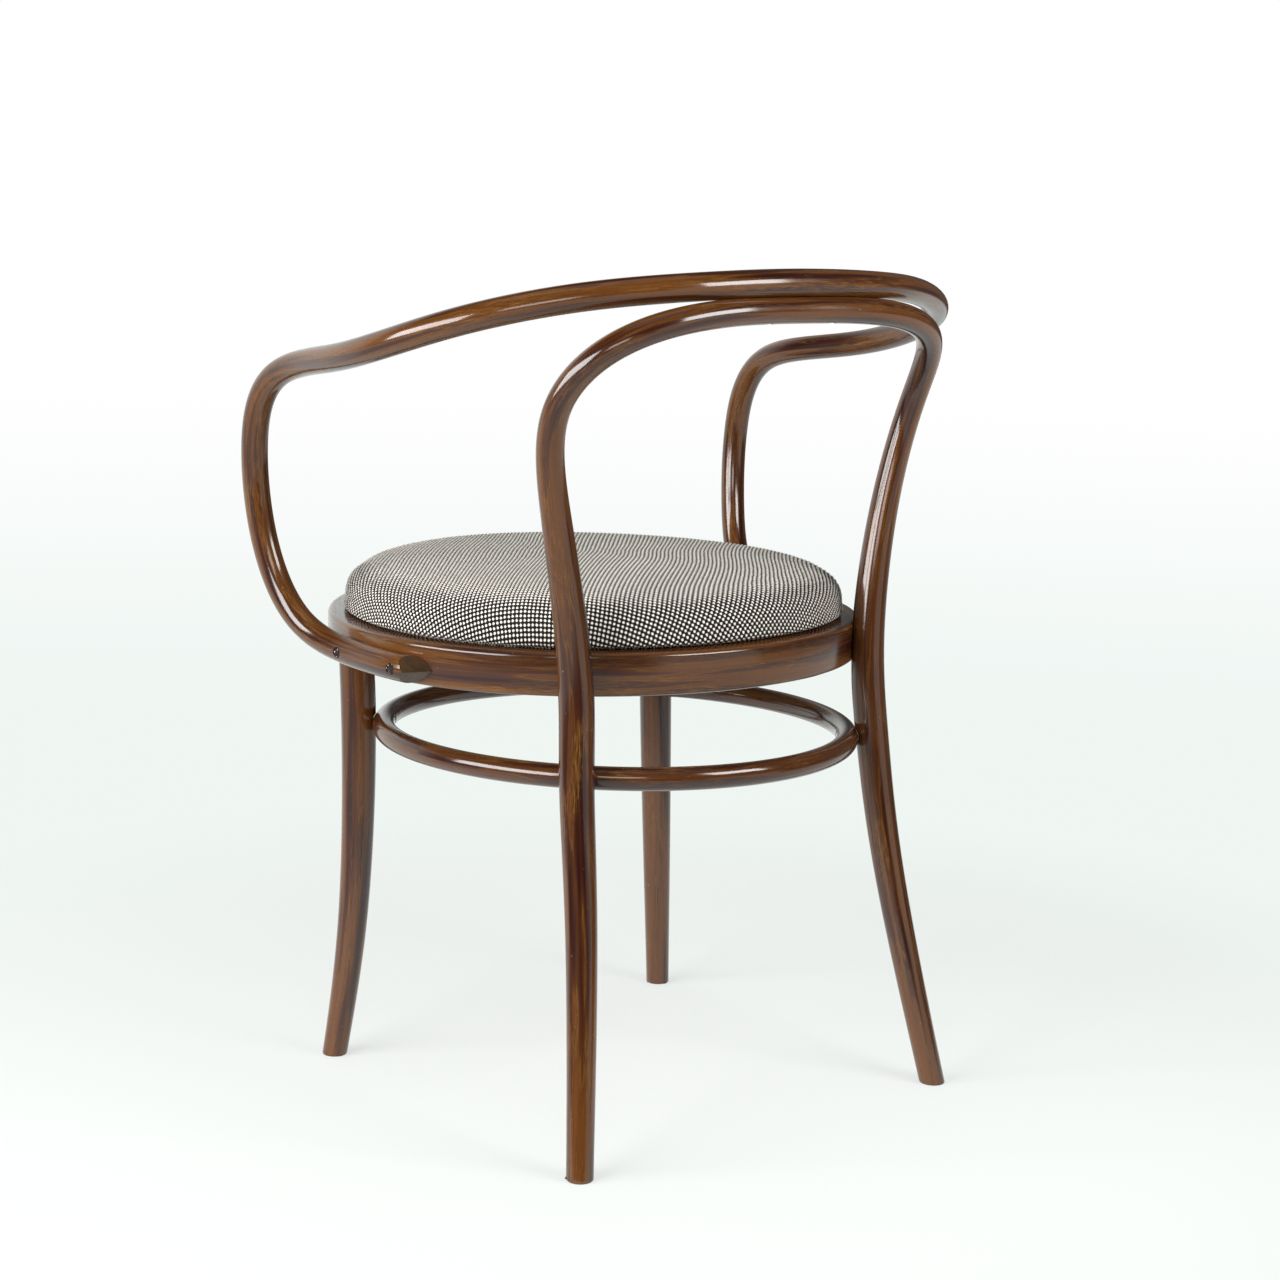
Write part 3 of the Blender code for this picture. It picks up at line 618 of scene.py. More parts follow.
def lay_grain(piece, route, start, cyclic=False):
    """Stores each face corner's place in the bent wood, and whether its face cuts the grain."""
    path = route[:, :3]
    ahead, side, up = path_axes(route, cyclic)
    along = np.concatenate([[0.0], np.cumsum(np.linalg.norm(np.diff(path, axis=0), axis=1))])
    whole = along[-1] + np.linalg.norm(path[0] - path[-1])
    tree = KDTree(len(path))
    for number, point in enumerate(path):
        tree.insert(point, number)
    tree.balance()
    places = coordinates(piece)
    nearest = np.array([tree.find(place)[1] for place in places])
    offset = places - path[nearest]
    across = np.sum(offset * side[nearest], axis=1)
    above = np.sum(offset * up[nearest], axis=1)
    length = along[nearest] + np.sum(offset * ahead[nearest], axis=1)
    mesh = piece.data
    corner_vertex = corner_vertices(piece)
    corner_length = length[corner_vertex]
    if cyclic:
        for face in mesh.polygons:
            corners = list(face.loop_indices)
            spread = corner_length[corners]
            if spread.max() - spread.min() > whole / 2:
                corner_length[corners] = np.where(spread < whole / 2, spread + whole, spread)
    grain = np.column_stack([across[corner_vertex], above[corner_vertex], corner_length + start])
    layer = mesh.attributes.new("grain", "FLOAT_VECTOR", "CORNER")
    layer.data.foreach_set("vector", grain.astype(np.float32).ravel())
    layer = mesh.attributes.new("end_grain", "FLOAT", "FACE")
    layer.data.foreach_set("value", [
        float(abs(face.normal.dot(ahead[nearest[face.vertices[0]]])) > END_GRAIN) for face in mesh.polygons])


# Materials
class Value:
    """A shader socket that takes part in expressions; each operation adds a Math node."""

    def __init__(self, nodes, socket):
        self.nodes = nodes
        self.socket = socket

    def operate(self, operation, first, second=0.0):
        return self.nodes.node("Math", {"operation": operation}, {0: first, 1: second})

    def __add__(self, other):
        return self.operate("ADD", self, other)

    def __radd__(self, other):
        return self.operate("ADD", other, self)

    def __sub__(self, other):
        return self.operate("SUBTRACT", self, other)

    def __rsub__(self, other):
        return self.operate("SUBTRACT", other, self)

    def __mul__(self, other):
        return self.operate("MULTIPLY", self, other)

    def __rmul__(self, other):
        return self.operate("MULTIPLY", other, self)

    def cosine(self):
        return self.operate("COSINE", self)

    def between(self, low, high):
        """Runs smoothly from 0 at the first value to 1 at the second."""
        settings = {"interpolation_type": "SMOOTHSTEP"}
        return self.nodes.node("MapRange", settings, {"Value": self, "From Min": low, "From Max": high})


class Nodes:
    """The nodes of a material or of the world."""

    def __init__(self, tree):
        self.tree = tree

    def node(self, kind, settings, inputs, output=0):
        made = self.tree.nodes.new("ShaderNode" + kind)
        for name, value in settings.items():
            setattr(made, name, value)
        for socket, value in inputs.items():
            self.feed(made.inputs[socket], value)
        return Value(self, made.outputs[output])

    def feed(self, socket, value):
        if isinstance(value, Value):
            self.tree.links.new(value.socket, socket)
        else:
            socket.default_value = value

    def mix(self, factor, first, second):
        first, second = [value if isinstance(value, Value) else (*value, 1.0) for value in (first, second)]
        return self.node("Mix", {"data_type": "RGBA"}, {0: factor, 6: first, 7: second}, 2)

    def scaled(self, vector, factors):
        return self.node("VectorMath", {"operation": "MULTIPLY"}, {0: vector, 1: factors})

    def noise(self, vector, size, detail=3.0, roughness=0.55):
        """Noise whose features have the given size along each axis."""
        place = self.scaled(vector, tuple(1.0 / length for length in size))
        inputs = {"Vector": place, "Scale": 1.0, "Detail": detail, "Roughness": roughness}
        return self.node("TexNoise", {}, inputs)

    def bump(self, height, distance, strength):
        inputs = {"Height": height, "Distance": distance, "Strength": strength}
        return self.node("Bump", {}, inputs, "Normal")

    def parts(self, vector):
        return [self.node("SeparateXYZ", {}, {0: vector}, axis) for axis in range(3)]

    def dot(self, vector, direction):
        return self.node("VectorMath", {"operation": "DOT_PRODUCT"}, {0: vector, 1: direction}, "Value")

    def place(self, kind="Object"):
        return self.node("TexCoord", {}, {}, kind)


class Finish(Nodes):
    """A procedural material: its shader and the nodes that feed it."""

    def __init__(self, name, **constants):
        self.material = bpy.data.materials.new(name)
        self.material.use_nodes = True
        super().__init__(self.material.node_tree)
        self.shader = self.tree.nodes["Principled BSDF"]
        self.set(**constants)

    def set(self, **sockets):
        for name, value in sockets.items():
            self.feed(self.shader.inputs[name.replace("_", " ")], value)


def stained_beech(name, worn_edges=0.0, rubbed=0.0, painted_shade=0.0, dullness=0.13):
    """Dark stain under a gloss lacquer, rubbed to ochre in hairs along the grain.

    The ring is also worn along its edges, and other pieces get painted shade, darker in a band of heights
    round the stretcher and seat ring.
    """
    wood = Finish(name, Specular_IOR_Level=0.05, Coat_Roughness=dullness, Coat_IOR=1.6)
    grain = wood.node("Attribute", {"attribute_name": "grain"}, {}, "Vector")
    end_grain = wood.node("Attribute", {"attribute_name": "end_grain"}, {}, "Fac")
    patches = wood.noise(grain, RUBBED_PATCH)
    figure = wood.noise(grain, FIGURE, detail=2.0)
    hairs = wood.noise(grain, HAIR, roughness=0.6)
    pores = wood.noise(grain, PORE, detail=2.0)
    dings = wood.noise(grain, DING).between(0.735, 0.775)
    scars = wood.noise(grain, SAW_SCAR).between(0.44, 0.60)
    aside = figure - 0.5
    growth_line = (aside * aside).between(0.0005, 0.00002) * hairs.between(0.30, 0.55)
    worn = patches.between(0.50 - rubbed, 0.66 - rubbed) * hairs.between(0.46, 0.64) + growth_line * 0.5
    if worn_edges:
        _, above, _ = wood.parts(grain)
        top = above.between(*TOP_WEAR) * above.between(*TOP_WEAR_END)
        worn = worn + worn_edges * (top + above.between(*BOTTOM_WEAR)) * hairs.between(0.30, 0.60)
    worn = worn * (1.0 - end_grain)
    colour = wood.mix(figure.between(0.32, 0.64), DEEP_STAIN, BROWN_STAIN)
    # Painted shade: darker in a band of heights round the stretcher and seat ring
    if painted_shade:
        _, _, height = wood.parts(wood.place())
        in_painted_shade = height.between(*SHADE_BELOW) * height.between(*SHADE_ABOVE)
        colour = wood.mix(in_painted_shade * painted_shade, colour, DEEP_STAIN)
    colour = wood.mix(worn * 0.45, colour, WORN_STAIN)
    colour = wood.mix(pores.between(0.54, 0.72) * 0.40, colour, DEEP_STAIN)
    colour = wood.mix(dings * 0.8, colour, BARE_WOOD)
    colour = wood.mix(end_grain * (0.55 + scars * 0.3), colour, SAWN_WOOD)
    wood.set(
        Base_Color=colour,
        Roughness=0.28 + worn * 0.12 + pores * 0.08,
        Coat_Weight=1.0 - worn * 0.25 - end_grain * 0.2,
        Normal=wood.bump(hairs * 0.4 + pores * 0.6 - dings * 0.8, distance=0.00008, strength=0.5))
    return wood.material


def plug_filler():
    """Dark filler over a screw, rough and flecked with painted glints."""
    filler = Finish("plug_filler", IOR=1.45, Specular_IOR_Level=0.2)
    place = filler.place()
    lumps = filler.noise(place, FILLER_LUMP, detail=4.0, roughness=0.65)
    glints = filler.noise(place, GLINT_FLECK, detail=2.0)
    colour = filler.mix(lumps.between(0.42, 0.60), DARK_FILLER, BROWN_FILLER)
    # Painted glints: pale flecks over the dark filler
    colour = filler.mix(glints.between(0.62, 0.66), colour, PAINTED_GLINT)
    filler.set(
        Base_Color=colour,
        Roughness=0.40 + lumps * 0.3,
        Normal=filler.bump(lumps, distance=0.0012, strength=0.9))
    return filler.material


def bare_plywood():
    """Unfinished plywood with its grain across the seat."""
    ply = Finish("bare_plywood", IOR=1.4)
    place = ply.place()
    grain = ply.noise(place, PLY_GRAIN, detail=5.0, roughness=0.6)
    fibre = ply.noise(place, PLY_FIBRE)
    colour = ply.mix(grain.between(0.30, 0.70), DARK_PLY, PALE_PLY)
    colour = ply.mix(fibre.between(0.55, 0.75) * 0.5, colour, FIBRE_PLY)
    ply.set(
        Base_Color=colour,
        Roughness=0.62 + grain * 0.2,
        Normal=ply.bump(fibre, distance=0.0003, strength=0.6))
    return ply.material


def screw_steel():
    """Plain steel screws, dulled and browned in places."""
    steel = Finish("dull_steel", IOR=2.0)
    place = steel.place()
    scratches = steel.noise(place, STEEL_SCRATCH)
    tarnish = steel.noise(place, TARNISH_SPOT, detail=4.0, roughness=0.6)
    colour = steel.mix(tarnish.between(0.45, 0.68), PLAIN_STEEL, TARNISHED_STEEL)
    steel.set(
        Base_Color=colour,
        Metallic=1.0 - tarnish.between(0.50, 0.72) * 0.6,
        Roughness=0.30 + tarnish * 0.35,
        Normal=steel.bump(scratches, distance=0.00015, strength=0.5))
    return steel.material


def woven_wool():
    """Plain weave of pale yarn over dark yarn, opened where it is pulled over the sides of the pad.

    The map counts yarns, and they cross at whole numbers.
    """
    cloth = Finish("woven_wool", Sheen_Weight=0.08, Sheen_Roughness=0.5, IOR=1.35)
    place = cloth.node("UVMap", {"uv_map": "weave"}, {}, "UV")
    warp, weft, _ = cloth.parts(place)
    crossing = (warp * math.pi).cosine() * (weft * math.pi).cosine()
    fuzz = cloth.noise(place, YARN_FUZZ, roughness=0.6)
    pulled = cloth.node("Attribute", {"attribute_name": "pulled"}, {}, "Fac")
    nub = (crossing + (fuzz - 0.5) * 0.45 - pulled * 0.22).between(-0.03, 0.12)
    centre = cloth.node("VectorMath", {"operation": "ADD"}, {0: place, 1: (0.5, 0.5, 0.0)})
    centre = cloth.node("VectorMath", {"operation": "FLOOR"}, {0: centre})
    chance = cloth.node("TexWhiteNoise", {"noise_dimensions": "2D"}, {"Vector": centre})
    drift = cloth.noise(place, YARN_DRIFT, detail=2.0)
    pale = cloth.mix(chance * 0.4 + drift.between(0.35, 0.65) * 0.25, PALE_YARN, GREY_YARN)
    cloth.set(
        Base_Color=cloth.mix(nub, DARK_YARN, pale),
        Roughness=0.92 - nub * 0.10,
        Normal=cloth.bump(nub * 0.5 + fuzz * 0.6, distance=0.0005, strength=0.7))
    return cloth.material


# The wooden pieces
HOOP_PATH = hoop_route()
BOW_PATH = bow_route()
STRETCHER_PATH = stretcher_route()
RING_PATH = ring_route()


def facing(normal, sign):
    return Vector((normal.x * sign, normal.y, 0.0))


def make_seat_ring():
    ring = plate("bent_seat_ring", ring_outline(0.0), RING_BOTTOM, RING_TOP, RING_EDGE_RADIUS)
    over = RING_TOP + CUTTER_OVERRUN
    opening = plate("opening", ring_outline(-RING_WIDTH), RING_BOTTOM - CUTTER_OVERRUN, over)
    rebate = plate("rebate", ring_outline(-REBATE_INSET), REBATE_FLOOR, over)
    cut(ring, opening)
    cut(ring, rebate)
    discard(opening, rebate)
    for _, sign in SIDES:
        spot, normal = ring_point(REAR_RING_BEARING, SPOT_FACE_DEPTH - RING_WIDTH)
        out = facing(normal, sign)
        middle = Vector((spot.x * sign, spot.y, (RING_BOTTOM + REBATE_FLOOR) / 2)) - out * RING_WIDTH / 4
        drill(ring, middle, out, WASHER_RADIUS + 2 * CLEARANCE, RING_WIDTH / 2)
    edit(ring)
    bpy.ops.mesh.quads_convert_to_tris(quad_method="BEAUTY", ngon_method="BEAUTY")
    bpy.ops.mesh.beautify_fill(angle_limit=FLAT_ANGLE)
    leave_edit()
    lay_grain(ring, RING_PATH, RING_GRAIN, cyclic=True)
    dress(ring, stained_beech("stained_ring", worn_edges=0.40, dullness=0.16), "stained_beech", "seat_ring")


def make_stretcher():
    stretcher = rod("bent_stretcher_ring", STRETCHER_PATH, cyclic=True)
    for _, sign in SIDES:
        for bearing in (REAR_STRETCHER_BEARING, FRONT_STRETCHER_BEARING):
            spot, normal = stretcher_point(bearing, SCREW_SUNK - STRETCHER_RADIUS)
            out = facing(normal, sign)
            middle = Vector((spot.x * sign, spot.y, STRETCHER_HEIGHT)) - out * STRETCHER_RADIUS / 2
            drill(stretcher, middle, out, SCREW_HEAD_RADIUS + 2 * CLEARANCE, STRETCHER_RADIUS)
    lay_grain(stretcher, STRETCHER_PATH, STRETCHER_GRAIN, cyclic=True)
    dress(stretcher, SHADED_WOOD, "stained_beech", "stretcher_ring")


def make_hoop(rooms):
    hoop = rod("bent_leg_hoop", HOOP_PATH)
    slice_off(hoop, (0.0, 0.0, 0.0), (0.0, 0.0, -1.0), FOOT_CHAMFER)
    for room in rooms:
        cut(hoop, room)
    half = HOOP_PATH[:len(HOOP_PATH) // 2 + 1][::-1]
    back, height = [float(np.interp(HOOP_SCREW_X, half[:, 0], half[:, column])) for column in (1, 2)]
    for _, sign in SIDES:
        middle = Vector((HOOP_SCREW_X * sign, back, height - HOOP_RADIUS + SCREW_SUNK - HOOP_RADIUS / 2))
        drill(hoop, middle, UP, SCREW_HEAD_RADIUS + 2 * CLEARANCE, HOOP_RADIUS)
    lay_grain(hoop, HOOP_PATH, HOOP_GRAIN)
    dress(hoop, SHADED_WOOD, "stained_beech", "rear_leg_hoop")


def make_front_legs(stretcher_room):
    for (side, sign), start in zip(SIDES, FRONT_LEG_GRAINS):
        route = front_leg_route(sign)
        leg = rod("turned_front_leg_" + side, route)
        slice_off(leg, (0.0, 0.0, 0.0), (0.0, 0.0, -1.0), FOOT_CHAMFER)
        slice_off(leg, (0.0, 0.0, RING_BOTTOM - 2 * CLEARANCE), (0.0, 0.0, 1.0))
        cut(leg, stretcher_room)
        lay_grain(leg, route, start)
        dress(leg, WOOD, "stained_beech", "front_leg_" + side)


def cut_arm_tips(bow):
    """Cuts each arm end off by two sloping facets that meet in a ridge."""
    for _, sign in SIDES:
        end, before = (BOW_PATH[0], BOW_PATH[1]) if sign > 0 else (BOW_PATH[-1], BOW_PATH[-2])
        along = Vector(end[:3] - before[:3]).normalized()
        out = along.cross(UP).normalized() * sign
        corner = Vector(end[:3]) - out * BOW_RADIUS - along * TIP_BLUNT
        for slope in (TIP_SLOPE_UP, -TIP_SLOPE_UP):
            block = block_beyond(corner, along * TIP_SLOPE_ALONG + out * TIP_SLOPE_OUT + UP * slope)
            cut(bow, block)
            discard(block)


def make_bow(ring_room):
    bow = rod("bent_arm_bow", BOW_PATH)
    cut(bow, ring_room)
    cut_arm_tips(bow)
    filler = plug_filler()
    skin = rod("sunk_skin", BOW_PATH, grow=-PLUG_SINK)
    for side, sign in SIDES:
        for number, bearing in enumerate(ARM_SCREW_BEARINGS, start=1):
            spot, normal = ring_point(bearing, 2 * BOW_RADIUS - HOUSING_DEPTH)
            out = facing(normal, sign)
            mouth = Vector((spot.x * sign, spot.y, RING_MIDDLE + ARM_END_RISE[number]))
            drill(bow, mouth, out, PLUG_RADIUS + CLEARANCE, 2 * PLUG_LENGTH)
            plug = peg(f"filled_hole_{side}_{number}", mouth, out, PLUG_RADIUS, 2 * PLUG_LENGTH - CLEARANCE)
            cut(plug, skin, "INTERSECT")
            dress(plug, filler, "plug_wood", f"arm_plug_{side}_{number}")
    discard(skin)
    lay_grain(bow, BOW_PATH, BOW_GRAIN)
    dress(bow, stained_beech("stained_bow", rubbed=0.06), "stained_beech", "arm_back_bow")


# The drop-in seat
def plan_point(bearing, inset):
    """Point of the seat's plan; past the ring's rim the plan shrinks towards its middle."""
    rim = min(inset, RING_WIDTH)
    point, _ = ring_point(bearing, -rim)
    middle = Vector((0.0, SEAT_MIDDLE_Y))
    return middle + (point - middle) * (RING_HALF_WIDTH - inset) / (RING_HALF_WIDTH - rim)


def quarter_turn(steps):
    return [math.pi / 2 * step / steps for step in range(1, steps + 1)]


def pad_profile():
    """Inner face of the cover from the edge of its fold, round the pad to the middle of its top."""
    edge = REBATE_INSET + COVER_THICKNESS + 2 * CLEARANCE
    low = REBATE_FLOOR + COVER_THICKNESS + CLEARANCE
    rim = RING_TOP + COVER_THICKNESS + PAD_GAP
    belly, foot = edge - PAD_BULGE, rim + PAD_TUCK
    profile = [(edge + COVER_FOLD, low), (edge, low), (edge, rim)]
    for turn in quarter_turn(PAD_TUCK_STEPS):
        profile.append((edge - PAD_BULGE * math.sin(turn), foot - PAD_TUCK * math.cos(turn)))
    reach, height = RING_HALF_WIDTH - belly, RING_TOP + PAD_RISE - foot
    power = 2 / PAD_SQUARENESS
    for turn in quarter_turn(PAD_DOME_STEPS):
        inward = 1 - abs(math.cos(turn)) ** power
        profile.append((belly + reach * inward, foot + height * math.sin(turn) ** power))
    return profile


def outer_profile(profile):
    """Outer face of the cover, its thickness away from the inner one, with mitred corners."""
    points = np.array(profile)
    edge = np.diff(points, axis=0)
    edge /= np.linalg.norm(edge, axis=1)[:, None]
    normal = np.column_stack([edge[:, 1], -edge[:, 0]])
    mitre = np.vstack([normal[:1], normal]) + np.vstack([normal, normal[-1:]])
    mitre *= 2 / np.sum(mitre ** 2, axis=1)[:, None]
    moved = points - COVER_THICKNESS * mitre
    moved[-1, 0] = RING_HALF_WIDTH
    return moved


def pad_meridians(profile):
    """Rows of points from the middle of the pad's top to the edge of the fold, a row for each bearing."""
    return np.array([
        [(*plan_point(bearing, inset), height) for inset, height in reversed(profile)]
        for bearing in bearings(PAD_TURN_STEPS)])


def foam_skin(profile):
    """Closed skin round the foam, in an even mesh."""
    belly = min(inset for inset, _ in profile)
    wall = [(belly, RING_TOP - PAD_SKIRT)] + [point for point in profile if point[1] > RING_TOP + PAD_SKIRT]
    rows, turns = len(wall), PAD_TURN_STEPS
    bpy.ops.object.select_all(action="DESELECT")
    bpy.ops.mesh.primitive_grid_add(x_subdivisions=turns, y_subdivisions=rows - 1, size=1.0)
    skin = bpy.context.object
    shares = coordinates(skin)[:, :2] + 0.5
    places = []
    for share_round, share_up in shares:
        inset, height = wall[round(share_up * (rows - 1))]
        places.append((*plan_point(360.0 * share_round, inset), height))
    set_coordinates(skin, np.array(places))
    edit(skin)
    bpy.ops.mesh.remove_doubles(threshold=MERGE)
    bpy.ops.mesh.select_all(action="DESELECT")
    bpy.ops.mesh.select_non_manifold()
    bpy.ops.mesh.edge_face_add()
    bpy.ops.mesh.select_all(action="SELECT")
    bpy.ops.mesh.normals_make_consistent(inside=False)
    leave_edit()
    remesh = skin.modifiers.new("even", "REMESH")
    remesh.mode = "VOXEL"
    remesh.voxel_size = PAD_VOXEL
    apply_step(skin, remesh)
    return skin


def swollen_form(profile):
    """Pad swollen by cloth simulation from the skin of its foam."""
    form = foam_skin(profile)
    before = coordinates(form)
    cloth = form.modifiers.new("swell", "CLOTH")
    cloth.settings.use_pressure = True
    cloth.settings.uniform_pressure_force = PAD_PRESSURE
    cloth.settings.effector_weights.gravity = 0.0
    for number in range(1, PAD_FRAMES + 1):
        bpy.context.scene.frame_set(number)
    apply_step(form, cloth)
    bpy.context.scene.frame_set(1)
    moved = coordinates(form) - before
    far = np.linalg.norm(moved, axis=1)[:, None]
    moved *= np.minimum(1.0, PAD_SWELL_LIMIT / np.maximum(far, MERGE))
    set_coordinates(form, before + moved)
    smooth = form.modifiers.new("settle", "SMOOTH")
    smooth.iterations = PAD_SMOOTHING
    apply_step(form, smooth)
    return form


def cloth_reach(meridians):
    """Length of cloth from the middle of the top to each point; the cloth is stretched over the sides."""
    steps = np.linalg.norm(np.diff(meridians, axis=1), axis=2)
    steps[:, PAD_DOME_STEPS // 2:] /= SIDE_STRETCH
    return np.concatenate([np.zeros((len(meridians), 1)), np.cumsum(steps, axis=1)], axis=1)


def laid_on(meridians, reach, turn, distance):
    """Places on the pad in given directions, at given lengths of cloth from the middle of its top."""
    share = (turn / (2 * math.pi)) % 1.0 * len(meridians)
    first = np.floor(share).astype(int) % len(meridians)
    blend = (share - np.floor(share))[:, None]
    places = np.zeros((len(turn), 3))
    for number in range(len(meridians)):
        chosen = np.nonzero(first == number)[0]
        for row, weight in ((number, 1 - blend[chosen]), ((number + 1) % len(meridians), blend[chosen])):
            at = np.minimum(distance[chosen], reach[row, -1])
            spot = np.column_stack([np.interp(at, reach[row], meridians[row, :, axis]) for axis in range(3)])
            places[chosen] += weight * spot
    return places


def settle_on_form(places, profile):
    """Moves the cover onto the swollen pad, except for the rim that is tucked into the ring."""
    form = swollen_form(profile)
    tree = BVHTree.FromObject(form, bpy.context.evaluated_depsgraph_get())
    landed = np.array([tree.find_nearest(Vector(place))[0] for place in places])
    free = np.clip((places[:, 2] - RING_TOP - SETTLE_START) / SETTLE_RANGE, 0.0, 1.0)[:, None]
    discard(form)
    return places + (landed - places) * free


def turn_on_pad(flat):
    """Direction on the pad of each point of the flat cloth, which is laid a little askew."""
    return np.arctan2(flat[:, 1], flat[:, 0]) + WEAVE_TURN


def cut_cloth(edge_reach):
    """Flat cloth with a vertex at each crossing of its yarns, cut off where it ends on each meridian."""
    yarns = 2 * math.ceil(edge_reach.max() / YARN_PITCH) + 2
    bpy.ops.object.select_all(action="DESELECT")
    bpy.ops.mesh.primitive_grid_add(x_subdivisions=yarns, y_subdivisions=yarns, size=yarns * YARN_PITCH)
    cloth = bpy.context.object
    flat = coordinates(cloth)[:, :2]
    edit(cloth)
    bpy.ops.mesh.select_all(action="DESELECT")
    leave_edit()
    bearing = np.degrees(turn_on_pad(flat))
    edge = np.interp(bearing, bearings(PAD_TURN_STEPS), edge_reach, period=360.0)
    beyond = np.hypot(flat[:, 0], flat[:, 1]) > edge + EDGE_SLACK * YARN_PITCH
    cloth.data.vertices.foreach_set("select", beyond)
    pick(cloth)
    bpy.ops.object.mode_set(mode="EDIT")
    bpy.ops.mesh.delete(type="VERT")
    leave_edit()
    return cloth


def map_weave(cover, count):
    """Gives the cover a map that counts its yarns from the middle."""
    layer = cover.data.uv_layers.active or cover.data.uv_layers.new()
    layer.name = "weave"
    layer.data.foreach_set("uv", count[corner_vertices(cover)].astype(np.float32).ravel())


def raise_yarns(cover, places, count):
    """Raises the crossings where the pale yarn passes over, and marks where the cloth is pulled open."""
    normals = np.empty(len(places) * 3)
    cover.data.vertex_normals.foreach_get("vector", normals)
    normals = normals.reshape(-1, 3)
    pulled = np.clip((FLAT_TOP - normals[:, 2]) / (FLAT_TOP - STEEP_SIDE), 0.0, 1.0)
    layer = cover.data.attributes.new("pulled", "FLOAT", "POINT")
    layer.data.foreach_set("value", pulled)
    exposed = np.clip((places[:, 2] - RING_TOP) / (PAD_GAP + COVER_THICKNESS), 0.0, 1.0)
    relief = YARN_RELIEF * np.where(count.sum(axis=1) % 2 == 0, 1.0, -1.0) * exposed
    set_coordinates(cover, places + normals * relief[:, None])


def make_cover():
    """Woven cover that is cut flat, laid over the pad and tucked into the ring."""
    profile = outer_profile(pad_profile()).tolist()
    meridians = pad_meridians(profile)
    reach = cloth_reach(meridians)
    cover = cut_cloth(reach[:, -1])
    cover.name = "woven_seat_cover"
    flat = coordinates(cover)[:, :2]
    count = np.rint(flat / YARN_PITCH).astype(int)
    map_weave(cover, count)
    wander = np.random.default_rng(WANDER_SEED).normal(0.0, YARN_WANDER, flat.shape)
    distance = np.hypot(*(flat + wander).T)
    places = laid_on(meridians, reach, turn_on_pad(flat), distance)
    places = settle_on_form(places, profile)
    set_coordinates(cover, places)
    raise_yarns(cover, places, count)
    wall = cover.modifiers.new("thickness", "SOLIDIFY")
    wall.thickness = COVER_THICKNESS
    wall.offset = -1.0
    apply_step(cover, wall)
    dress(cover, woven_wool(), "woven_cover", "seat_cover", "seat_foam")


# The solids that stay
def dress_kept_nodes():
    """Gives the solids that stay as they are their finer finish."""
    steel = screw_steel()
    for name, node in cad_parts.items():
        if "screw" in name or "washer" in name:
            coat(node, steel)
    coat(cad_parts["seat_board"], bare_plywood())


# Stage
def towards(bearing):
    """Level direction of a bearing in degrees."""
    turn = math.radians(bearing)
    return Vector((math.cos(turn), math.sin(turn), 0.0))


def add_lamp(name, bearing, rise, distance, size, power):
    """Soft lamp that faces the chair."""
    turn = math.radians(rise)
    away = towards(bearing) * math.cos(turn) + UP * math.sin(turn)
    data = bpy.data.lights.new(name, "AREA")
    data.shape = "RECTANGLE"
    data.size, data.size_y = size
    data.energy = power
    lamp = bpy.data.objects.new(name, data)
    lamp.location = LAMP_TARGET + away * distance
    lamp.rotation_euler = away.to_track_quat("Z", "Y").to_euler()
    lamp.visible_camera = False
    bpy.context.scene.collection.objects.link(lamp)


def add_camera():
    ahead = Vector((
        math.cos(CAMERA_PITCH) * math.cos(CAMERA_YAW),
        math.cos(CAMERA_PITCH) * math.sin(CAMERA_YAW),
        math.sin(CAMERA_PITCH)))
    side = ahead.cross(UP).normalized()
    top = side.cross(ahead)
    right = side * math.cos(CAMERA_ROLL) + top * math.sin(CAMERA_ROLL)
    data = bpy.data.cameras.new("camera")
    data.lens = CAMERA_LENS
    camera = bpy.data.objects.new("camera", data)
    turn = Matrix((right, right.cross(ahead), -ahead)).transposed()
    camera.matrix_world = Matrix.Translation(CAMERA_PLACE) @ turn.to_4x4()
    bpy.context.scene.collection.objects.link(camera)
    bpy.context.scene.camera = camera


def shown_rays(nodes):
    """Masks of the rays that show the background: those of the camera, and those of gloss and glass."""
    camera, gloss, glass = [
        nodes.node("LightPath", {}, {}, f"Is {kind} Ray") for kind in ("Camera", "Glossy", "Transmission")]
    return camera, gloss + glass


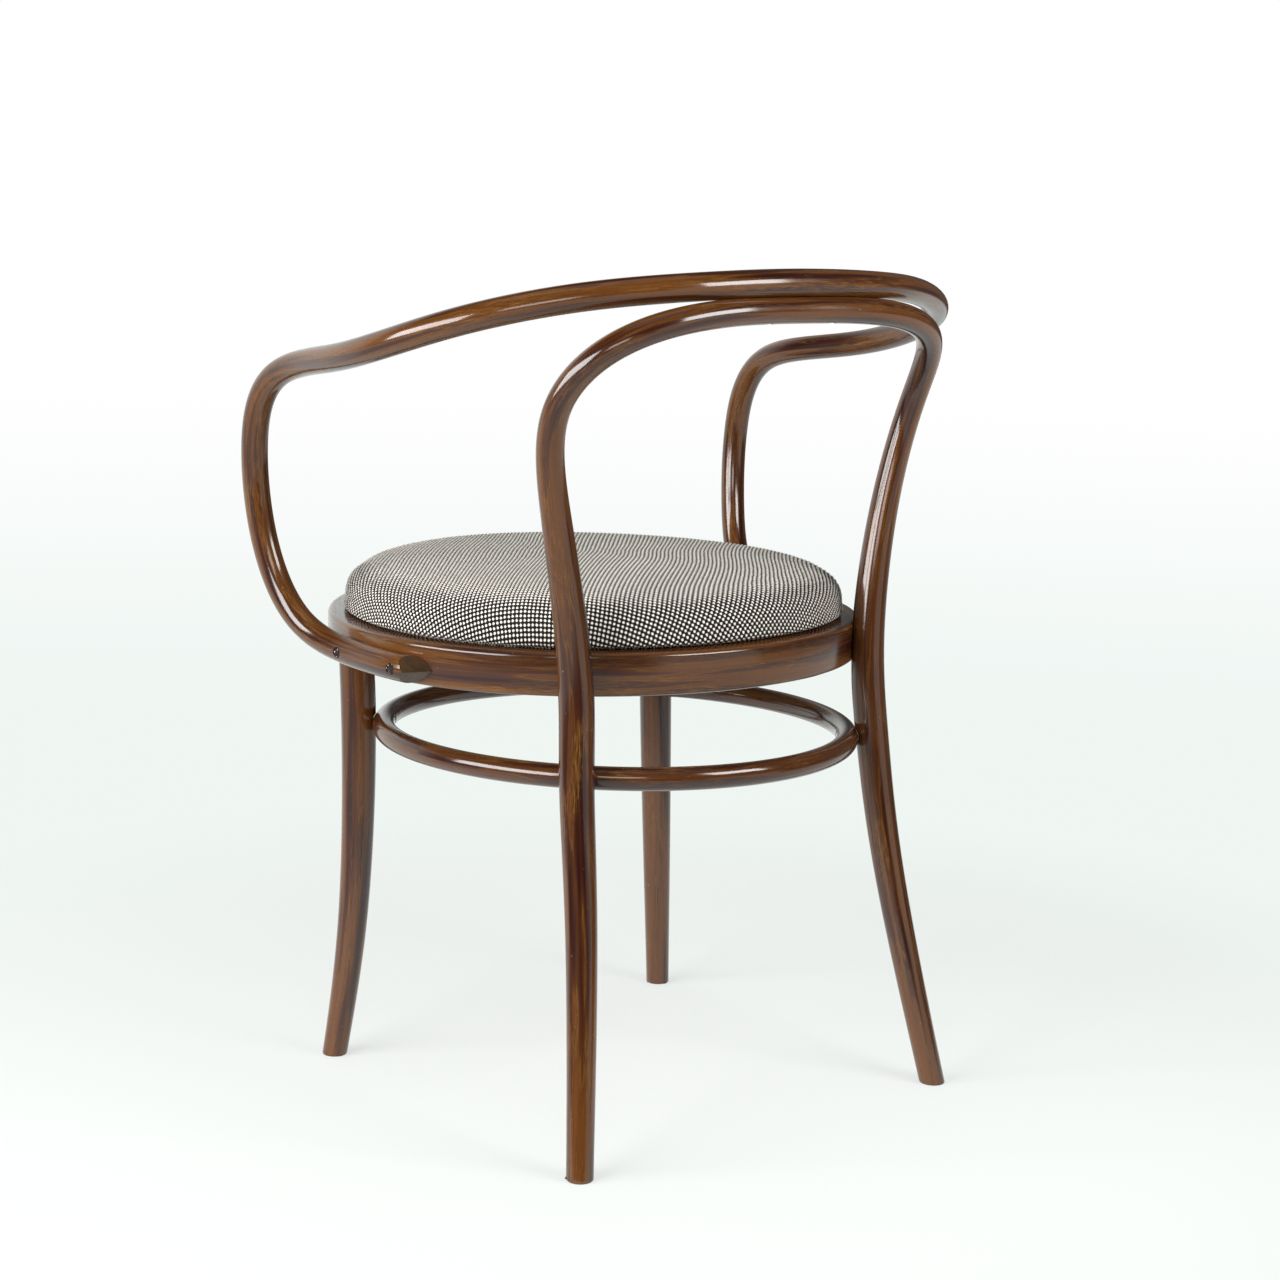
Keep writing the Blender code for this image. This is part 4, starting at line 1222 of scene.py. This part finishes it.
def light_stage():
    """White backdrop beyond the chair and a dim room behind the camera, with soft lamps round the chair."""
    world = bpy.data.worlds.new("studio")
    bpy.context.scene.world = world
    world.use_nodes = True
    studio = Nodes(world.node_tree)
    direction = studio.place("Generated")
    _, _, up = studio.parts(direction)
    backdrop = studio.dot(direction, towards(BACKDROP_BEARING)).between(*BACKDROP_EDGE)
    side_wall = studio.dot(direction, towards(WALL_BEARING)).between(*WALL_EDGE) * WALL_LEVEL
    ceiling = up.between(*CEILING_EDGE) * CEILING_LEVEL
    pool = studio.dot(direction, towards(POOL_BEARING)).between(*POOL_EDGE) * up.between(*POOL_TOP)
    low = (up.between(*FLOOR_EDGE) + pool).between(0.0, 1.0) * FLOOR_LEVEL
    reflected_room = studio.mix(backdrop + side_wall + ceiling + low, DIM_ROOM, BACKGROUND)
    seen = studio.mix(up.between(*LOW_FADE), WHITE_BACKDROP, LOW_BACKDROP)
    seen = studio.mix(up.between(*NEAR_FADE), seen, NEAR_FLOOR)
    camera, gloss = shown_rays(studio)
    ambient = studio.mix(up.between(*GLOW_FADE), FLOOR_BOUNCE, CEILING_GLOW)
    colour = studio.mix(gloss, ambient, reflected_room)
    colour = studio.mix(camera, colour, seen)
    studio.feed(studio.tree.nodes["Background"].inputs["Color"], colour)
    for name, lamp in LAMPS.items():
        add_lamp(name, **lamp)


def add_floor():
    """Pale floor round the chair that fades out into the white background."""
    bpy.ops.object.select_all(action="DESELECT")
    bpy.ops.mesh.primitive_circle_add(vertices=FLOOR_SIDES, radius=FLOOR_RADIUS, fill_type="NGON")
    floor = bpy.context.object
    floor.name = "floor"
    pale = Finish("pale_floor", Base_Color=(*FLOOR_COLOUR, 1.0), Roughness=0.8)
    x, y, _ = pale.parts(pale.place())
    far = (x * x + y * y).between(*FLOOR_FADE)
    camera, gloss = shown_rays(pale)
    glow = pale.node("Emission", {}, {"Color": (*BACKGROUND, 1.0)})
    lit = Value(pale, pale.shader.outputs[0])
    surface = pale.node("MixShader", {}, {0: (camera + gloss) * FLOOR_GLOW, 1: lit, 2: glow})
    surface = pale.node("MixShader", {}, {0: far, 1: surface, 2: pale.node("BsdfTransparent", {}, {})})
    pale.feed(pale.tree.nodes["Material Output"].inputs["Surface"], surface)
    coat(floor, pale.material)


# The work in its order
bpy.context.scene.view_settings.view_transform = "Standard"
add_camera()
light_stage()
add_floor()

WOOD = stained_beech("stained_rods")
# Wood for the hoop and stretcher, with painted shade in a band round the seat ring's height
SHADED_WOOD = stained_beech("stained_with_painted_shade", painted_shade=0.4)
RING_ROOM = plate(
    "room_for_ring", ring_outline(CLEARANCE),
    RING_BOTTOM - CLEARANCE, RING_TOP + CLEARANCE, RING_EDGE_RADIUS)
STRETCHER_ROOM = rod("room_for_stretcher", STRETCHER_PATH, CLEARANCE, cyclic=True)
BOW_ROOM = rod("room_for_bow", BOW_PATH, CLEARANCE)
make_seat_ring()
make_stretcher()
make_hoop((RING_ROOM, STRETCHER_ROOM, BOW_ROOM))
make_front_legs(STRETCHER_ROOM)
make_bow(RING_ROOM)
discard(RING_ROOM, STRETCHER_ROOM, BOW_ROOM)
make_cover()
dress_kept_nodes()
